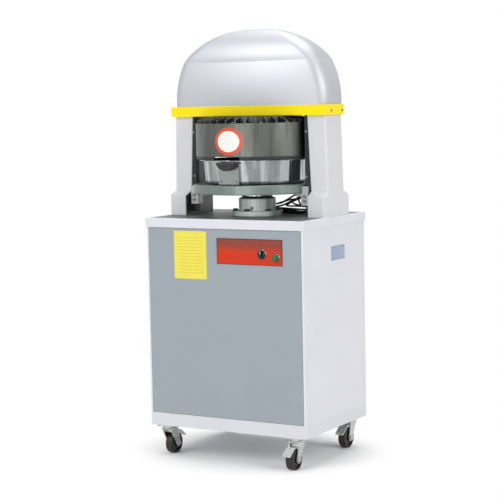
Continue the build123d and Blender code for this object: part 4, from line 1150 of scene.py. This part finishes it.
@dataclass
class Casters:
    """Bolts of the caster plates and caps of the wheels."""

    reach: Pair = (224.0, 169.0)
    bolt_reach: float = 22.0
    bolt_head: Pair = (4.2, 3.2)
    plate_bottom: float = 92.0
    trail: float = 24.0
    axle_level: float = 32.0
    cap_reach: float = 7.0

    def spots(self) -> dict[str, Point]:
        """Kingpin place and heading of each caster."""
        x, y = self.reach
        return {"front_left": (-x, -y, 90.0), "front_right": (x, -y, 270.0),
                "rear_left": (-x, y, 90.0), "rear_right": (x, y, 270.0)}

    def bolts(self) -> None:
        """Four bolts under each caster plate."""
        reach = self.bolt_reach
        fasten("caster_bolts", "frame", Form.hexagon, self.bolt_head,
               [((x + across * reach, y + along * reach, self.plate_bottom), DOWN)
                for x, y, _ in self.spots().values() for across in SIDES for along in SIDES])

    def caps(self) -> None:
        """Thread guards on both sides of each wheel."""
        for name, (x, y, heading) in self.spots().items():
            turn = math.radians(heading)
            ahead = Vector((math.cos(turn), math.sin(turn), 0))
            across = Vector((-math.sin(turn), math.cos(turn), 0))
            middle = Vector((x, y, self.axle_level)) + ahead * self.trail
            form = Form()
            for side in SIDES:
                way = across * side
                form.turned([(11.2, 0.0), (11.8, 2.2), (13.5, 3.0), (20.0, 1.2), (23.6, 0.4), (24.4, -0.2)],
                            40, facing(middle + way * self.cap_reach, way))
            form.piece("wheel_cap_" + name, WHEEL_CAP, "wheel_" + name, "black_plastic")

    def build(self) -> None:
        """Fit bolts and caps."""
        self.bolts()
        self.caps()


@dataclass
class MainsLead:
    """Rubber lead from its gland to the hank on the table and on to the plug, all in millimetres."""

    radius: float = 2.75
    lead: tuple[Point, ...] = ((188, 70, 748), (167, 70, 748), (145, 74.5, 740.375), (124, 79, 733.95))
    runs: tuple[Point, ...] = (
        (105, 79, 733.95), (50, 79, 733.95), (50, 126, 733.95), (151, 126, 733.95), (151, 88, 734.55),
        (50, 88, 740.35), (50, 126, 740.35), (147, 126, 740.35), (147, 88, 741.15), (30, 88, 747.95),
        (30, 126, 752.45), (64, 126, 770.95), (64, 88, 771.95), (30, 88, 760.45), (30, 126, 761.45),
        (70, 126, 785.95), (118, 94, 753.95), (136, 94, 749.45), (136, 132, 747.95), (78, 132, 750.95),
        (78, 80, 760.95), (104, 80, 783.95), (104, 144, 784.95), (60, 144, 765.95), (60, 178, 750.2),
        (72, 178, 750.2))
    crests: Pair = (0.4, 0.3)
    around: int = 6
    pin_start: float = 60.0
    pin_reach: float = 9.5

    def bend(self, start: Vector, end: Vector, way_in: Vector, way_out: Vector) -> list[Vector]:
        """Spline points of the bend between two runs.

        Args:
            start: End of the run before it.
            end: Start of the run after it.
            way_in: Direction of the run before.
            way_out: Direction of the run after.

        Returns:
            Two corners where the lead goes on the same way, or the corners round a half turn.
        """
        if way_in.x * way_out.x > 0:
            span = end - start
            lead = span.dot(way_in + way_out)
            bend = 2 * (1 - way_in.dot(way_out))
            reach = (math.sqrt(lead * lead + bend * span.dot(span)) - lead) / bend
            return [start + way_in * reach, end - way_out * reach]
        middle = (start + end) / 2
        reach = abs(end.y - start.y) / 2
        side = 1 if way_in.x > 0 else -1
        share = self.crests[1] if side > 0 else self.crests[0]
        out = Vector((side * reach, 0, reach * (way_in.z - way_out.z) / 2 * share))
        step = math.pi / self.around
        wide = 1 / math.cos(step / 2)
        angles = [(k + 0.5) * step for k in range(self.around)]
        return [middle + wide * ((start - middle) * math.cos(a) + out * math.sin(a)) for a in angles]

    def points(self) -> list[Vector]:
        """Spline points of the whole lead, in order."""
        ends = [Vector(p) for p in self.runs]
        route = [Vector(p) for p in self.lead] + ends[:1]
        for k in range(1, len(ends) - 1, 2):
            way_in = (ends[k] - ends[k - 1]).normalized()
            way_out = (ends[k + 2] - ends[k + 1]).normalized()
            route += self.bend(ends[k], ends[k + 1], way_in, way_out)
        return route + [ends[-1]]

    def plug_pins(self) -> bpy.types.Object:
        """Nickel skins of the plug's two pins."""
        x, y, z = self.runs[-1]
        form = Form()
        for side in SIDES:
            spot = (x + self.pin_start, y + side * self.pin_reach, z)
            form.turned([(2.55, -0.2), (2.55, 17.6), (1.8, 19.2), (0.0, 19.4)], 20, facing(spot, RIGHT))
        return form.piece("plug_pins", BEZEL_METAL, "frame", "cord_rubber")

    def build(self) -> None:
        curve = bpy.data.curves.new("mains lead", "CURVE")
        curve.dimensions = "3D"
        curve.bevel_depth = self.radius * MM
        curve.bevel_resolution = 4
        curve.use_fill_caps = True
        route = self.points()
        spline = curve.splines.new("NURBS")
        spline.points.add(len(route) - 1)
        for point, spot in zip(spline.points, route):
            point.co = (*(spot * MM), 1.0)
        spline.order_u = 3
        spline.use_endpoint_u = True
        spline.resolution_u = 6
        piece = bpy.data.objects.new("mains_lead", curve)
        bpy.context.scene.collection.objects.link(piece)
        curve.materials.append(Slot.cord_rubber.value.material())
        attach(piece, "frame")
        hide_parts("cord_lead", "cord_hank")
        self.plug_pins()
        log.info("mains lead of %d points", len(route))


def dress() -> None:
    """Give every CAD node its own finish, or that of its slot."""
    special = {"columns": COLUMN_PAINT, "ram_housing": GUIDE_STEEL, "guide_shoes": SHOE_STEEL,
               "grip_plate": RISER_STEEL, "drum_ribs": RIB_STEEL, "base_tray": BASE_PAINT}
    special |= {"caster_brake_" + corner: Slot.zinc_steel.value for corner in Casters().spots()}
    for row in frame["record"]["subparts"]:
        node = frame["nodes"][row["node"]]
        finish = special.get(row["node"], Slot[row["material_slot"]].value)
        node.data.materials.clear()
        node.data.materials.append(finish.material())
    log.info("%d nodes dressed", len(frame["nodes"]))


def main() -> None:
    """Build the scene piece by piece."""
    Studio().build()
    dress()
    for assembly in (Head(), Ram(), Cabinet(), Controls(), Casters(), MainsLead()):
        assembly.build()


if __name__ == "__main__":
    logging.basicConfig(level=logging.INFO, format="%(message)s")
    main()
